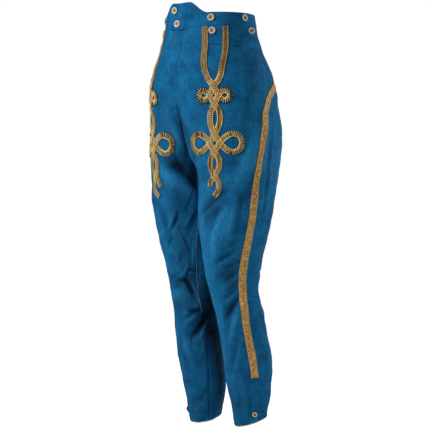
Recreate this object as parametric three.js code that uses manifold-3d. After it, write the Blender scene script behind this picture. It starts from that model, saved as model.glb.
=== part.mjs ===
// Hussar trousers in blue cloth, in the hollow form they take when worn: a high waistband that rises
// to a peak in front, four leg panels, a fly, gold lace along the side seams, a braided knot on each
// thigh, bone buttons and a buttoned vent at each hem.
// Millimetres. +Z is up, the front faces -Y and the wearer's left is +X.
// The origin is the centre of the waist, level with the seam under the waistband.
import * as THREE from "three";
import Module from "manifold-3d";

const wasm = await Module();
wasm.setup();

// Driving sizes
const CLOTH = 2; // wall of a leg panel
const BAND = 3; // wall of the waistband, which is doubled
const BAND_PROUD = 0.5; // how far the waistband stands out of the panels
const SEAM_GAP = 0.3; // between neighbouring pieces
const TRIM_GAP = 0.45; // under what is laid on the cloth, whose facets need the room
const FRONT_RISE = 62; // waistband height at the peak
const SIDE_RISE = 31; // waistband height at the hips
const BACK_RISE = 27; // waistband height at the centre back
const PEAK_HALF = 28; // half width of the flat top of the peak
const PEAK_FOOT = 76; // where the peak has run out, measured from the centre front
const WAIST_DIP = 8; // the waist seam lies lower in front by this much
const CROTCH_Z = -321;
const SEAM_HOLD = 22; // how far from the middle seams the folds are held back
const HOLD_FADE = 25; // depth below the crotch over which that ends
const HEM_Z = -922; // mean height of the hem
const HEM_FRONT_DROP = 12; // the hem is lower in front and higher behind by this much
const HEM_SIDE_LIFT = 2.5;
const DIP_BLEND = 120; // depth below the waist over which that dip fades
const HEM_BLEND = 130; // height over which the rows turn to follow the hem
const LACE_WIDTH = 20;
const LACE_THICK = 1.4;
const LACE_END_Z = -820;
const BRAID_WIDTH = 14.5;
const BRAID_THICK = 1.8;
const BRAID_LIFT = 1.2; // extra height of the strand that passes over
const FLY_EDGE = 13; // the fly laps this far past the centre front at the top
const FLY_FOOT_EDGE = 3; // and this far at its foot
const FLY_WIDTH = 26;
const FLY_END_Z = -186;
const FLAP_THICK = 1.5; // fly, vent flaps and pocket welt
const BUTTON_R = 8.5;
const HEM_BUTTON_R = 6.5;

const RAD = Math.PI / 180;
const named = (columns, rows) => rows.map((row) => Object.fromEntries(columns.map((c, i) => [c, row[i]])));
const smooth = (x) => {
  const t = Math.min(1, Math.max(0, x));
  return t * t * (3 - 2 * t);
};
const mix = (a, b, t) => a + (b - a) * t;
const steps = (from, to, count) => Array.from({ length: count + 1 }, (_, k) => mix(from, to, k / count));

// Each leg is a stack of sections. cx and cy are a section's centre, outer, inner, front and back its
// half widths from there, and outseam and inseam the seams' places in degrees: 0 is in front, 90 is
// outwards, 180 behind and -90 inwards. Above the crotch a section is cut off at the middle plane.
const SECTIONS = named(
  ["z", "cx", "cy", "outer", "inner", "front", "back", "outseam", "inseam"],
  [
    [60, 0, -2, 117, 117, 92, 90, 158, -90],
    [30, 0, -1, 118, 118, 94, 91, 158, -90],
    [0, 0, 0, 122, 122, 98, 95, 158, -90],
    [-49, 0, 0, 135, 120, 106, 106, 156, -90],
    [-99, 5, 0, 149, 110, 119, 128, 148, -90],
    [-128, 13, 0, 148, 105, 121, 134, 134, -90],
    [-153, 23, 0, 143, 105, 119, 137, 114, -90],
    [-193, 40, 0, 128, 125, 111, 137, 102, -90],
    [-239, 58, 0, 113, 140, 103, 136, 97, -90],
    [-286, 71, 0, 103, 104, 97, 125, 92, -90],
    [-321, 78, 1, 97, 77.85, 93.5, 115, 88, -90],
    [-361, 82.5, 3, 92, 79.5, 90.5, 105, 83, -84],
    [-408, 84, 5, 88, 80, 89, 91, 78.5, -76],
    [-454, 81, 6, 84, 77, 86, 86, 77, -68],
    [-501, 75.5, 5.5, 77, 72, 80, 78, 76, -62],
    [-548, 71.5, 5.5, 68, 68, 69, 68, 74, -59],
    [-595, 71, 8.5, 62, 63, 61, 61.5, 70, -57],
    [-642, 74, 16, 57, 60, 55.5, 56, 66, -58],
    [-689, 79, 25, 55, 54, 55.5, 57.5, 62, -68],
    [-735, 82, 33, 55, 54.5, 55.5, 58, 62, -70],
    [-782, 83.5, 41, 55, 54, 56, 58, 63.5, -67],
    [-829, 82.5, 47.5, 52, 53, 53, 54, 66, -62],
    [-875, 82, 52, 46, 46, 46, 47, 66, -59],
    [-922, 83, 52.5, 38.5, 38.5, 38.5, 39, 63, -61],
  ],
);

// A fold is a soft ridge, or a trough where height is negative, along a curve from its first point
// past its middle point to its last. a is the place round the leg in degrees, as for the seams.
const FOLDS = named(
  ["leg", "a0", "z0", "a1", "z1", "a2", "z2", "width", "height"],
  [
    ["left", 112, -212, 84, -296, 30, -410, 26, 5],
    ["left", 62, -390, 18, -430, -36, -474, 22, -6],
    ["left", 66, -415, 36, -484, -4, -553, 24, 5],
    ["left", -44, -395, -50, -450, -58, -504, 24, 6],
    ["left", -30, -247, -42, -316, -70, -356, 20, 4],
    ["left", 70, -553, 40, -583, 8, -593, 18, -3.5],
    ["left", 64, -613, 44, -647, 14, -682, 18, -4],
    ["left", 56, -632, 40, -692, 12, -771, 18, 4],
    ["right", -12, -232, -34, -287, -64, -341, 20, -4],
    ["right", -2, -336, -26, -370, -66, -400, 20, 4],
    ["right", 6, -425, -8, -459, -6, -504, 16, -4],
    ["right", -68, -553, -44, -593, -34, -632, 18, -4],
    ["right", -76, -652, -50, -697, -26, -731, 18, -5],
    ["right", -30, -618, 0, -637, 30, -632, 18, 4],
    ["both", 150, -287, 182, -336, 225, -351, 24, 5],
    ["both", 150, -356, 180, -390, 218, -405, 22, -4],
    ["both", 150, -178, 135, -326, 122, -464, 24, 4],
    ["both", 125, -553, 180, -588, 235, -563, 20, 4],
    ["both", 120, -608, 178, -627, 238, -605, 20, -4],
    ["both", 118, -657, 170, -687, 232, -667, 20, 4],
    ["both", 215, -415, 228, -494, 222, -563, 22, 4],
  ],
);

// Smooth curve through the rows of a table, read by one column and giving another.
function curve(rows, key, at, column) {
  const rising = rows[0][key] < rows[rows.length - 1][key];
  let k = 0;
  while (k < rows.length - 2 && (rising ? at > rows[k + 1][key] : at < rows[k + 1][key])) k++;
  const [a, b] = [rows[k], rows[k + 1]];
  const [before, after] = [rows[Math.max(0, k - 1)], rows[Math.min(rows.length - 1, k + 2)]];
  const span = b[key] - a[key];
  const t = Math.min(1, Math.max(0, (at - a[key]) / span));
  const slopeA = ((b[column] - before[column]) / (b[key] - before[key])) * span;
  const slopeB = ((after[column] - a[column]) / (after[key] - a[key])) * span;
  const t2 = t * t;
  const t3 = t2 * t;
  return (
    (2 * t3 - 3 * t2 + 1) * a[column] + (t3 - 2 * t2 + t) * slopeA +
    (3 * t2 - 2 * t3) * b[column] + (t3 - t2) * slopeB
  );
}

function section(z) {
  const s = {};
  for (const column of Object.keys(SECTIONS[0])) s[column] = curve(SECTIONS, "z", z, column);
  const middle = s.cx - SEAM_GAP / 2;
  s.inner = z >= CROTCH_Z ? Math.max(s.inner, middle) : Math.min(s.inner, middle);
  return s;
}

// The angle at which a section meets the middle plane, above the crotch.
function plane(z) {
  const s = section(z);
  return Math.asin(Math.min(1, (s.cx - SEAM_GAP / 2) / s.inner)) / RAD;
}
const frontEdge = (z) => (z >= CROTCH_Z ? -plane(z) : section(z).inseam);
const backEdge = (z) => (z >= CROTCH_Z ? 180 + plane(z) : 360 + section(z).inseam);

const FOLD_STEPS = 8;
const bend = (f, t) => ({
  a: (1 - t) ** 2 * f.a0 + 2 * t * (1 - t) * f.a1 + t * t * f.a2,
  z: (1 - t) ** 2 * f.z0 + 2 * t * (1 - t) * f.z1 + t * t * f.z2,
});
for (const f of FOLDS) f.path = steps(0, 1, FOLD_STEPS).map((t) => bend(f, t));

// Height of the folds above the plain section.
function foldHeight(side, a, z) {
  const s = section(z);
  const round = ((s.outer + s.inner + s.front + s.back) / 4) * RAD; // mm for each degree
  let height = 0;
  for (const f of FOLDS) {
    if (f.leg !== "both" && f.leg !== (side > 0 ? "left" : "right")) continue;
    for (const turn of [-360, 0, 360]) {
      let nearest = Infinity;
      let along = 0;
      for (let k = 0; k < FOLD_STEPS; k++) {
        const [p, q] = [f.path[k], f.path[k + 1]];
        const [px, pz] = [(p.a + turn - a) * round, p.z - z];
        const [dx, dz] = [(q.a - p.a) * round, q.z - p.z];
        const t = Math.min(1, Math.max(0, -(px * dx + pz * dz) / (dx * dx + dz * dz)));
        const far = Math.hypot(px + t * dx, pz + t * dz);
        if (far < nearest) [nearest, along] = [far, (k + t) / FOLD_STEPS];
      }
      height += f.height * Math.exp(-((nearest / f.width) ** 2)) * Math.sin(Math.PI * mix(0.08, 0.92, along));
    }
  }
  return height;
}

const hemTurn = (a) => -HEM_FRONT_DROP * Math.cos(a * RAD) + HEM_SIDE_LIFT * Math.sin(a * RAD);

// The outer face of the cloth. side is 1 for the wearer's left and -1 for the right. Above the crotch
// the folds are held back near the middle seams, which stay in the middle plane and meet at one height.
function cloth(side, a, z) {
  const s = section(z);
  const [sin, cos] = [Math.sin(a * RAD), Math.cos(a * RAD)];
  const [rx, ry] = [sin < 0 ? s.inner : s.outer, cos > 0 ? s.front : s.back];
  const out = new THREE.Vector2(sin / rx, -cos / ry).normalize();
  const plain = s.cx + rx * sin;
  const held = (1 - smooth(plain / SEAM_HOLD)) * smooth((z - CROTCH_Z) / HOLD_FADE + 1);
  const own = foldHeight(side, a, z);
  const lift = held > 0 ? mix(own, foldHeight(-side, a, z), held / 2) : own;
  const x = plain + out.x * lift * (1 - held);
  const y = s.cy - ry * cos + out.y * lift;
  const dip = WAIST_DIP * smooth((z + DIP_BLEND) / DIP_BLEND) * (1 - smooth(x / 90)) * (cos > 0);
  const turn = smooth((HEM_Z + HEM_BLEND - z) / HEM_BLEND) * hemTurn(a) - dip;
  return new THREE.Vector3(side * Math.max(x, SEAM_GAP / 2), y, z + turn);
}

// A point on the cloth moved out along its normal.
function onCloth(side, a, z, out) {
  const [da, dz] = [0.6, 1.5];
  const round = cloth(side, a + da, z).sub(cloth(side, a - da, z));
  const down = cloth(side, a, z - dz).sub(cloth(side, a, z + dz));
  const normal = down.cross(round).multiplyScalar(side).normalize();
  return { point: cloth(side, a, z).addScaledVector(normal, out), normal };
}

// Heights of the panels' rows: closer together towards the crotch, where the seam turns under.
const ABOVE = steps(0, 1, 14).map((t) => CROTCH_Z * (1 - (1 - t) ** 1.4));
const BELOW = steps(0, 1, 25).map((t) => mix(CROTCH_Z, HEM_Z, mix(t, t ** 1.5, 0.35)));
const ROWS = [...ABOVE, ...BELOW.slice(1)];
const FRONT_COLUMNS = 12;
const BACK_COLUMNS = 14;

// How far the outseam swings back for each millimetre that it climbs.
function lean(z) {
  const s = section(z);
  const round = Math.hypot(s.outer * Math.cos(s.outseam * RAD), s.back * Math.sin(s.outseam * RAD)) * RAD;
  const step = 2;
  return ((section(z + step).outseam - section(z - step).outseam) * round) / (2 * step);
}

// Half a seam's gap as an angle.
const gapAngle = (z) => (SEAM_GAP / 2 / (section(z).outer * RAD)) * Math.hypot(1, lean(z));
const inseamGap = (z) => (z < CROTCH_Z ? gapAngle(z) : 0);
const FRONT = {
  columns: FRONT_COLUMNS,
  from: (z) => frontEdge(z) + inseamGap(z),
  to: (z) => section(z).outseam - gapAngle(z),
};
const BACK = {
  columns: BACK_COLUMNS,
  from: (z) => section(z).outseam + gapAngle(z),
  to: (z) => backEdge(z) - inseamGap(z),
};

// The flat facet of a leg panel at this place.
function facet(side, a, z) {
  const panel = a < section(z).outseam ? FRONT : BACK;
  const u = ((a - panel.from(z)) / (panel.to(z) - panel.from(z))) * panel.columns;
  const i = Math.min(panel.columns - 1, Math.max(0, Math.floor(u)));
  let j = 0;
  while (j < ROWS.length - 2 && z < ROWS[j + 1]) j++;
  const corner = (dj, di) => {
    const zj = ROWS[j + dj];
    return cloth(side, mix(panel.from(zj), panel.to(zj), (i + di) / panel.columns), zj);
  };
  const across = Math.min(1, Math.max(0, u - i));
  const down = (z - ROWS[j]) / (ROWS[j + 1] - ROWS[j]);
  const step = (from, to, t) => to.sub(from).multiplyScalar(t);
  return down > across
    ? corner(0, 0).add(step(corner(0, 0), corner(1, 0), down)).add(step(corner(1, 0), corner(1, 1), across))
    : corner(0, 0).add(step(corner(0, 0), corner(0, 1), across)).add(step(corner(0, 1), corner(1, 1), down));
}

// A point laid on a panel: it clears both the smooth cloth and the panel's facets.
function laid(side, a, z, out) {
  const { point, normal } = onCloth(side, a, z, 0);
  const proud = Math.max(0, facet(side, a, z).sub(point).dot(normal));
  return { point: point.addScaledVector(normal, proud + out), normal };
}

// The angle of the cloth at a given distance from the middle plane, in front.
function frontAngle(z, x) {
  const s = section(z);
  const wide = x > s.cx ? s.outer : s.inner;
  return Math.asin(Math.min(1, Math.max(-1, (x - s.cx) / wide))) / RAD;
}

// The same for either side of the centre front: x is negative on the wearer's right.
function frontPoint(x, z, out) {
  const side = x < 0 ? -1 : 1;
  const far = Math.max(Math.abs(x), SEAM_GAP / 2);
  const found = (z < 0 ? laid : onCloth)(side, frontAngle(z, far), z, out);
  found.point.x = x;
  return found;
}

// Closed wall between two grids of points of the same shape. wrap joins the last column to the first.
function wall(outer, inner, wrap = false) {
  const [rows, columns] = [outer.length, outer[0].length];
  const positions = [...outer.flat(), ...inner.flat()].flatMap((p) => [p.x, p.y, p.z]);
  const o = (j, i) => j * columns + (i % columns);
  const n = (j, i) => rows * columns + o(j, i);
  const index = [];
  const quad = (a, b, c, d) => index.push(a, b, c, a, c, d);
  const last = wrap ? columns : columns - 1;
  for (let j = 0; j < rows - 1; j++)
    for (let i = 0; i < last; i++) {
      quad(o(j, i), o(j + 1, i), o(j + 1, i + 1), o(j, i + 1));
      quad(n(j, i), n(j, i + 1), n(j + 1, i + 1), n(j + 1, i));
    }
  for (let i = 0; i < last; i++) {
    quad(o(0, i), o(0, i + 1), n(0, i + 1), n(0, i));
    quad(o(rows - 1, i), n(rows - 1, i), n(rows - 1, i + 1), o(rows - 1, i + 1));
  }
  if (!wrap)
    for (let j = 0; j < rows - 1; j++) {
      quad(o(j + 1, 0), o(j, 0), n(j, 0), n(j + 1, 0));
      quad(o(j, last), o(j + 1, last), n(j + 1, last), n(j, last));
    }
  return facingOut(positions, index);
}

function facingOut(positions, index) {
  const at = (k) => new THREE.Vector3().fromArray(positions, 3 * k);
  let volume = 0;
  for (let k = 0; k < index.length; k += 3)
    volume += at(index[k]).dot(at(index[k + 1]).cross(at(index[k + 2])));
  if (volume < 0)
    for (let k = 0; k < index.length; k += 3) [index[k], index[k + 1]] = [index[k + 1], index[k]];
  const geometry = new THREE.BufferGeometry();
  geometry.setAttribute("position", new THREE.Float32BufferAttribute(positions, 3));
  geometry.setIndex(index);
  geometry.computeVertexNormals();
  return geometry;
}

// A leg panel: a wall between its two edges.
function legPanel(side, panel) {
  const grid = (out) =>
    ROWS.map((z) => steps(panel.from(z), panel.to(z), panel.columns).map((a) => onCloth(side, a, z, out).point));
  return wall(grid(0), grid(-CLOTH));
}

// Height of the waistband's top edge at a distance from the centre front, and round to the back.
function bandTop(x, a) {
  const peak = 1 - smooth((Math.abs(x) - PEAK_HALF) / (PEAK_FOOT - PEAK_HALF));
  const rest = mix(SIDE_RISE, BACK_RISE, smooth((a - 60) / 100));
  return a < 90 ? mix(rest, FRONT_RISE, peak) : rest;
}

// One side of the waistband. The wearer's left end laps over the right one and has a round corner.
function waistband(side) {
  const lap = side > 0 ? -28 : -12; // where the front end lies, past the centre front
  const corner = 7;
  const columns = [...steps(lap, lap + corner, 3), ...steps(lap + 14, 60, 6)].map((x) => ({ x }));
  for (const a of steps(34, 180, 15)) columns.push({ a });
  const raise = (x) => (side > 0 ? (BAND + SEAM_GAP) * (1 - smooth((x - 14) / 16)) : 0);
  const place = (c, z, out) => {
    if (c.a !== undefined) {
      const p = onCloth(side, c.a, z, out).point;
      if (c.a === 180) p.x = (side * SEAM_GAP) / 2;
      return p;
    }
    return frontPoint(side * c.x, z, out + raise(c.x)).point;
  };
  const grid = (out) =>
    steps(0, 1, 3).map((v) =>
      columns.map((c) => {
        const x = c.a === undefined ? c.x : 200;
        const clip = side > 0 ? Math.max(0, (corner - (x - lap)) / corner) : 0;
        const top = bandTop(c.a === undefined ? x : section(30).outer * Math.sin(c.a * RAD), c.a ?? 0);
        const high = top - corner * (1 - Math.sqrt(Math.max(0, 1 - clip ** 2)));
        return place(c, mix(1.8 * SEAM_GAP, high, v), out);
      }),
    );
  return wall(grid(BAND_PROUD), grid(BAND_PROUD - BAND));
}

// A strip that lies on the cloth. at(along, across) gives the place, both from 0 to 1.
function laidOn(at, alongSteps, acrossSteps, thick) {
  const grid = (out) =>
    steps(0, 1, alongSteps).map((v) => steps(0, 1, acrossSteps).map((u) => at(v, u, out).point));
  return wall(grid(TRIM_GAP + thick), grid(TRIM_GAP));
}

// Gold lace over the side seam, from the waist seam behind down to the top of the vent.
function sideLace(side) {
  const line = new THREE.CatmullRomCurve3(
    steps(-1, LACE_END_Z, 120).map((z) => cloth(1, section(z).outseam, z)),
  );
  line.arcLengthDivisions = 1200;
  const at = (v, u, out) => {
    const t = line.getUtoTmapping(v);
    const z = mix(-1, LACE_END_Z, t);
    const s = section(z);
    const round = Math.hypot(s.outer * Math.cos(s.outseam * RAD), s.back * Math.sin(s.outseam * RAD)) * RAD;
    const slope = lean(z) * smooth(-z / 40);
    const off = ((u - 0.5) * LACE_WIDTH) / Math.hypot(1, slope); // square to the lace's own line
    return laid(side, s.outseam + off / round, z - off * slope, out);
  };
  return laidOn(at, 46, 2, LACE_THICK);
}

// The fly: a strip over the centre front seam with a round lower end.
function fly() {
  const at = (v, u, out) => {
    const z = mix(-SEAM_GAP, FLY_END_Z, v);
    const round = Math.sqrt(Math.max(0, 1 - Math.max(0, (v - 0.8) / 0.2) ** 2));
    return frontPoint(FLY_WIDTH * u * mix(0.34, 1, round) - mix(FLY_EDGE, FLY_FOOT_EDGE, v), z, out);
  };
  return laidOn(at, 10, 3, FLAP_THICK);
}

// The flap of the vent at the foot of the side seam.
function ventFlap(side) {
  const at = (v, u, out) => {
    const z = mix(LACE_END_Z - 3, HEM_Z, v);
    const s = section(z);
    return laid(side, s.outseam + mix(-12, 6, u) / (s.outer * RAD), z, out);
  };
  return laidOn(at, 8, 2, FLAP_THICK);
}

// White facing that shows as a thin line under the hem.
function hemFacing(side) {
  const [high, proud, thick] = [14, 1.4, 1];
  const [from, seam, to] = [frontEdge(HEM_Z), section(HEM_Z).outseam, backEdge(HEM_Z)];
  const angles = [...steps(from, seam, FRONT_COLUMNS).slice(1), ...steps(seam, to, BACK_COLUMNS).slice(1)];
  const grid = (out) =>
    [HEM_Z + high, HEM_Z - proud].map((z) =>
      angles.map((a) => {
        const p = onCloth(side, a, Math.max(z, HEM_Z + 1), out).point;
        p.z += Math.min(0, z - HEM_Z - 1);
        return p;
      }),
    );
  const inside = -CLOTH - 1.5 * SEAM_GAP;
  return wall(grid(inside), grid(inside - thick), true);
}

// The knot on each thigh is two mirrored strands of braid about a middle line, whose distance from
// the centre front is given here for each leg: the wearer's right knot sits nearer to the front.
const KNOT_LINE = named(
  ["z", "left", "right"],
  [
    [0, 92, 92],
    [-70, 104, 101],
    [-146, 117, 101],
    [-275, 118, 99],
    [-345, 114, 96],
    [-405, 107, 90],
  ],
);

// u is the distance from that line, v the distance below the waist seam, and a and b say how far
// strand a and strand b are lifted there, from 0, flat on the cloth, to 1, over the other.
const STRAND = named(
  ["u", "v", "a", "b"],
  [
    [-24, 1.5, 0, 0],
    [-24, 36, 0, 0],
    [-24, 68, 0, 0],
    [-21, 98, 0, 0],
    [-14, 124, 0, 0],
    [0, 143, 1, 0],
    [9, 162, 0, 0],
    [16, 172, 0, 0],
    [26, 175.5, 0, 0],
    [34, 172, 0, 0],
    [37.5, 164, 0, 0],
    [34, 156, 0, 0],
    [26, 152.5, 0, 0],
    [16, 156.5, 0, 0],
    [9, 167, 1, 1],
    [0, 184, 0, 1],
    [-9, 199, 0, 0],
    [-12, 217, 0, 0],
    [-9, 235, 0, 0],
    [0, 253, 1, 0],
    [12, 273, 0, 0],
    [19, 282, 0, 0],
    [29, 290, 0, 0],
    [43, 295.5, 0, 0],
    [58, 290, 0, 0],
    [65, 274, 0, 0],
    [58, 258, 0, 0],
    [43, 252.5, 0, 0],
    [29, 258, 0, 0],
    [19, 266, 0, 0],
    [12, 276, 1, 1],
    [0, 294, 0, 1],
    [-9, 307, 0, 0],
    [-12.5, 323, 0, 0],
    [-9, 337, 0, 0],
    [0, 350, 1, 0],
    [10, 362, 0, 0],
    [12, 375, 0, 0],
    [7, 388, 0, 0],
    [-2, 397, 0, 0],
  ],
);
const SHORT_STRAND = 38; // strand b ends here, tucked in beside the tail

function knotPoint(side, u, v, out) {
  const z = -v;
  const s = section(z);
  const line = curve(KNOT_LINE, "z", z, side > 0 ? "left" : "right");
  const a = Math.asin((line - s.cx) / s.outer);
  const round = Math.hypot(s.outer * Math.cos(a), s.front * Math.sin(a));
  return laid(side, (a + u / round) / RAD, z, out).point;
}

// One strand, made of short lengths that are joined into one solid.
function strand(side, mirror, lifts, rows) {
  const path = new THREE.CatmullRomCurve3(
    rows.map((r) => new THREE.Vector3(mirror * r.u, r.v, BRAID_LIFT * r[lifts])),
  );
  const count = 2 * (rows.length - 1);
  const across = [-0.5, 0.5].map((k) => k * BRAID_WIDTH);
  const row = (k, thick) => {
    const t = k / count;
    const p = path.getPoint(t);
    const d = path.getTangent(t);
    const flat = Math.hypot(d.x, d.y);
    return across.map((w) =>
      knotPoint(side, p.x - (w * d.y) / flat, p.y + (w * d.x) / flat, TRIM_GAP + p.z * (thick > 0) + thick),
    );
  };
  const pieces = [];
  for (let k = 0; k < count; k += 3) {
    const ks = steps(k, Math.min(count, k + 3), Math.min(count, k + 3) - k);
    pieces.push(solid(wall(ks.map((j) => row(j, BRAID_THICK)), ks.map((j) => row(j, 0)))));
  }
  return pieces;
}

function solid(geometry) {
  const mesh = new wasm.Mesh({
    numProp: 3,
    vertProperties: new Float32Array(geometry.attributes.position.array),
    triVerts: new Uint32Array(geometry.index.array),
  });
  return new wasm.Manifold(mesh);
}

// The union of the solids, without the slivers of air that curved pieces may shut in between them.
function joined(solids) {
  const skins = solids.reduce((whole, next) => whole.add(next)).decompose();
  const mesh = skins.reduce((a, b) => (a.volume() > b.volume() ? a : b)).getMesh();
  const geometry = new THREE.BufferGeometry();
  geometry.setAttribute("position", new THREE.BufferAttribute(mesh.vertProperties, mesh.numProp));
  geometry.setIndex(new THREE.BufferAttribute(mesh.triVerts, 1));
  geometry.computeVertexNormals();
  return geometry;
}

const knot = (side) =>
  joined([
    ...strand(side, 1, "a", STRAND),
    ...strand(side, -1, "b", STRAND.slice(0, SHORT_STRAND)),
  ]);

// The welt of the small pocket between the braids of the wearer's left knot.
function pocketWelt() {
  const [half, top, deep] = [15.5, 39, 5];
  const at = (v, u, out) => ({ point: knotPoint(1, mix(-half, half, u), top + deep * v, out) });
  return laidOn(at, 1, 4, FLAP_THICK);
}

// A bone button on its thread shank: flat rim, sunk middle.
function buttonShape(radius) {
  const [shank, back, face, sunk] = [0.26 * radius, 1, 3.4, 2.6];
  const profile = [
    [0, 0],
    [shank, 0],
    [shank, back],
    [radius, back],
    [0.94 * radius, face],
    [0.62 * radius, face],
    [0.5 * radius, sunk],
    [0, sunk],
  ].map(([x, y]) => new THREE.Vector2(x, y));
  return new THREE.LatheGeometry(profile, 10).rotateX(Math.PI / 2);
}

// Buttons: x is measured from the centre front where the button lies there, a is an angle elsewhere.
const BUTTONS = [
  { name: "waist_button_upper", side: 1, x: -13, z: 46, out: BAND_PROUD + BAND + SEAM_GAP },
  { name: "waist_button_lower", side: 1, x: -1, z: 14, out: BAND_PROUD + BAND + SEAM_GAP },
];
for (const [side, word] of [
  [1, "left"],
  [-1, "right"],
])
  BUTTONS.push(
    { name: `brace_button_front_upper_${word}`, side, a: 44, z: 19, out: BAND_PROUD },
    { name: `brace_button_front_lower_${word}`, side, a: 45, z: -12, out: 0 },
    { name: `brace_button_side_upper_${word}`, side, a: 91, z: 19, out: BAND_PROUD },
    { name: `brace_button_side_lower_${word}`, side, a: 100, z: -12, out: 0 },
    { name: `hem_button_${word}`, side, a: section(-903).outseam - 3, z: -903, out: FLAP_THICK + TRIM_GAP },
  );

const material = (name, color, roughness, metalness = 0) =>
  new THREE.MeshStandardMaterial({ name, color, roughness, metalness });
const blueCloth = material("blue_cloth", 0x1b6aa5, 0.9);
const goldLace = material("gold_lace", 0xb98a3c, 0.5, 0.5);
const bone = material("bone", 0xe9dfc8, 0.45);
const whiteCotton = material("white_cotton", 0xe4e0d6, 0.9);

const trousers = new THREE.Group();
trousers.name = "trousers";

function add(name, geometry, finish) {
  const mesh = new THREE.Mesh(geometry, finish);
  mesh.name = name;
  trousers.add(mesh);
  return mesh;
}

for (const [side, word] of [
  [1, "left"],
  [-1, "right"],
]) {
  add(`front_panel_${word}`, legPanel(side, FRONT), blueCloth);
  add(`back_panel_${word}`, legPanel(side, BACK), blueCloth);
  add(`waistband_${word}`, waistband(side), blueCloth);
  add(`vent_flap_${word}`, ventFlap(side), blueCloth);
  add(`hem_facing_${word}`, hemFacing(side), whiteCotton);
  add(`side_lace_${word}`, sideLace(side), goldLace);
  add(`thigh_knot_${word}`, knot(side), goldLace);
}
add("fly", fly(), blueCloth);
add("pocket_welt", pocketWelt(), blueCloth);

for (const b of BUTTONS) {
  const radius = b.name.startsWith("hem") ? HEM_BUTTON_R : BUTTON_R;
  const lift = b.out + SEAM_GAP;
  const seat = b.x === undefined ? onCloth(b.side, b.a, b.z, lift) : frontPoint(b.x, b.z, lift);
  const mesh = add(b.name, buttonShape(radius), bone);
  mesh.position.copy(seat.point);
  mesh.quaternion.setFromUnitVectors(new THREE.Vector3(0, 0, 1), seat.normal);
}

export default trousers;
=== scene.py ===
import math
import bpy
import numpy as np
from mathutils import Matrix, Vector


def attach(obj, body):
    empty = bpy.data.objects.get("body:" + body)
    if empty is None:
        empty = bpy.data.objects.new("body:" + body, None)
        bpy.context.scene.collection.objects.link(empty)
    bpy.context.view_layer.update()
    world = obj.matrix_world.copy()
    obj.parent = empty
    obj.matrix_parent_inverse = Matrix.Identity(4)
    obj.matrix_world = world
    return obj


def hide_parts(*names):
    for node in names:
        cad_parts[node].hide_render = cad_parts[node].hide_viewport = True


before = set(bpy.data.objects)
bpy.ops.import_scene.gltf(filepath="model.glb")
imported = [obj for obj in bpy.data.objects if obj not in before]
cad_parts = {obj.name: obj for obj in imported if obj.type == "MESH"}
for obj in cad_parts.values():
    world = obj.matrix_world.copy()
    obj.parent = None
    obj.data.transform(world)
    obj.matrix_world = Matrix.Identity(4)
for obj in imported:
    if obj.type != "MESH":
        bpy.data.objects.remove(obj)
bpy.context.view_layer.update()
print("frame loaded")

rad = math.pi / 180
mm = 0.001  # sizes below are in millimetres, meshes are in metres
sides = {"left": 1, "right": -1}  # the wearer's

# the form of the worn cloth; heights are measured from the waist seam
cut = {
    "cloth": 2.0, "bandThick": 3.0, "bandProud": 0.5, "seamGap": 0.3,
    "frontRise": 62, "sideRise": 31, "backRise": 27, "peakHalf": 28, "peakFoot": 76,
    "waistDip": 8, "dipBlend": 120, "crotchZ": -321, "hemZ": -922,
    "hemFrontDrop": 12, "hemSideLift": 2.5, "hemBlend": 130,
}


def sideName(side):
    return "left" if side > 0 else "right"


def table(columns, rows):
    return {c: np.array([row[i] for row in rows], float) for i, c in enumerate(columns)}


# Each leg is a stack of sections: a centre, four half widths, and where its two seams lie in degrees.
legSections = table(
    ["z", "cx", "cy", "outer", "inner", "front", "back", "outseam", "inseam"],
    [
        [60, 0, -2, 117, 117, 92, 90, 158, -90],
        [30, 0, -1, 118, 118, 94, 91, 158, -90],
        [0, 0, 0, 122, 122, 98, 95, 158, -90],
        [-49, 0, 0, 135, 120, 106, 106, 156, -90],
        [-99, 5, 0, 149, 110, 119, 128, 148, -90],
        [-128, 13, 0, 148, 105, 121, 134, 134, -90],
        [-153, 23, 0, 143, 105, 119, 137, 114, -90],
        [-193, 40, 0, 128, 125, 111, 137, 102, -90],
        [-239, 58, 0, 113, 140, 103, 136, 97, -90],
        [-286, 71, 0, 103, 104, 97, 125, 92, -90],
        [-321, 78, 1, 97, 77.85, 93.5, 115, 88, -90],
        [-361, 82.5, 3, 92, 79.5, 90.5, 105, 83, -84],
        [-408, 84, 5, 88, 80, 89, 91, 78.5, -76],
        [-454, 81, 6, 84, 77, 86, 86, 77, -68],
        [-501, 75.5, 5.5, 77, 72, 80, 78, 76, -62],
        [-548, 71.5, 5.5, 68, 68, 69, 68, 74, -59],
        [-595, 71, 8.5, 62, 63, 61, 61.5, 70, -57],
        [-642, 74, 16, 57, 60, 55.5, 56, 66, -58],
        [-689, 79, 25, 55, 54, 55.5, 57.5, 62, -68],
        [-735, 82, 33, 55, 54.5, 55.5, 58, 62, -70],
        [-782, 83.5, 41, 55, 54, 56, 58, 63.5, -67],
        [-829, 82.5, 47.5, 52, 53, 53, 54, 66, -62],
        [-875, 82, 52, 46, 46, 46, 47, 66, -59],
        [-922, 83, 52.5, 38.5, 38.5, 38.5, 39, 63, -61],
    ],
)

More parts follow.
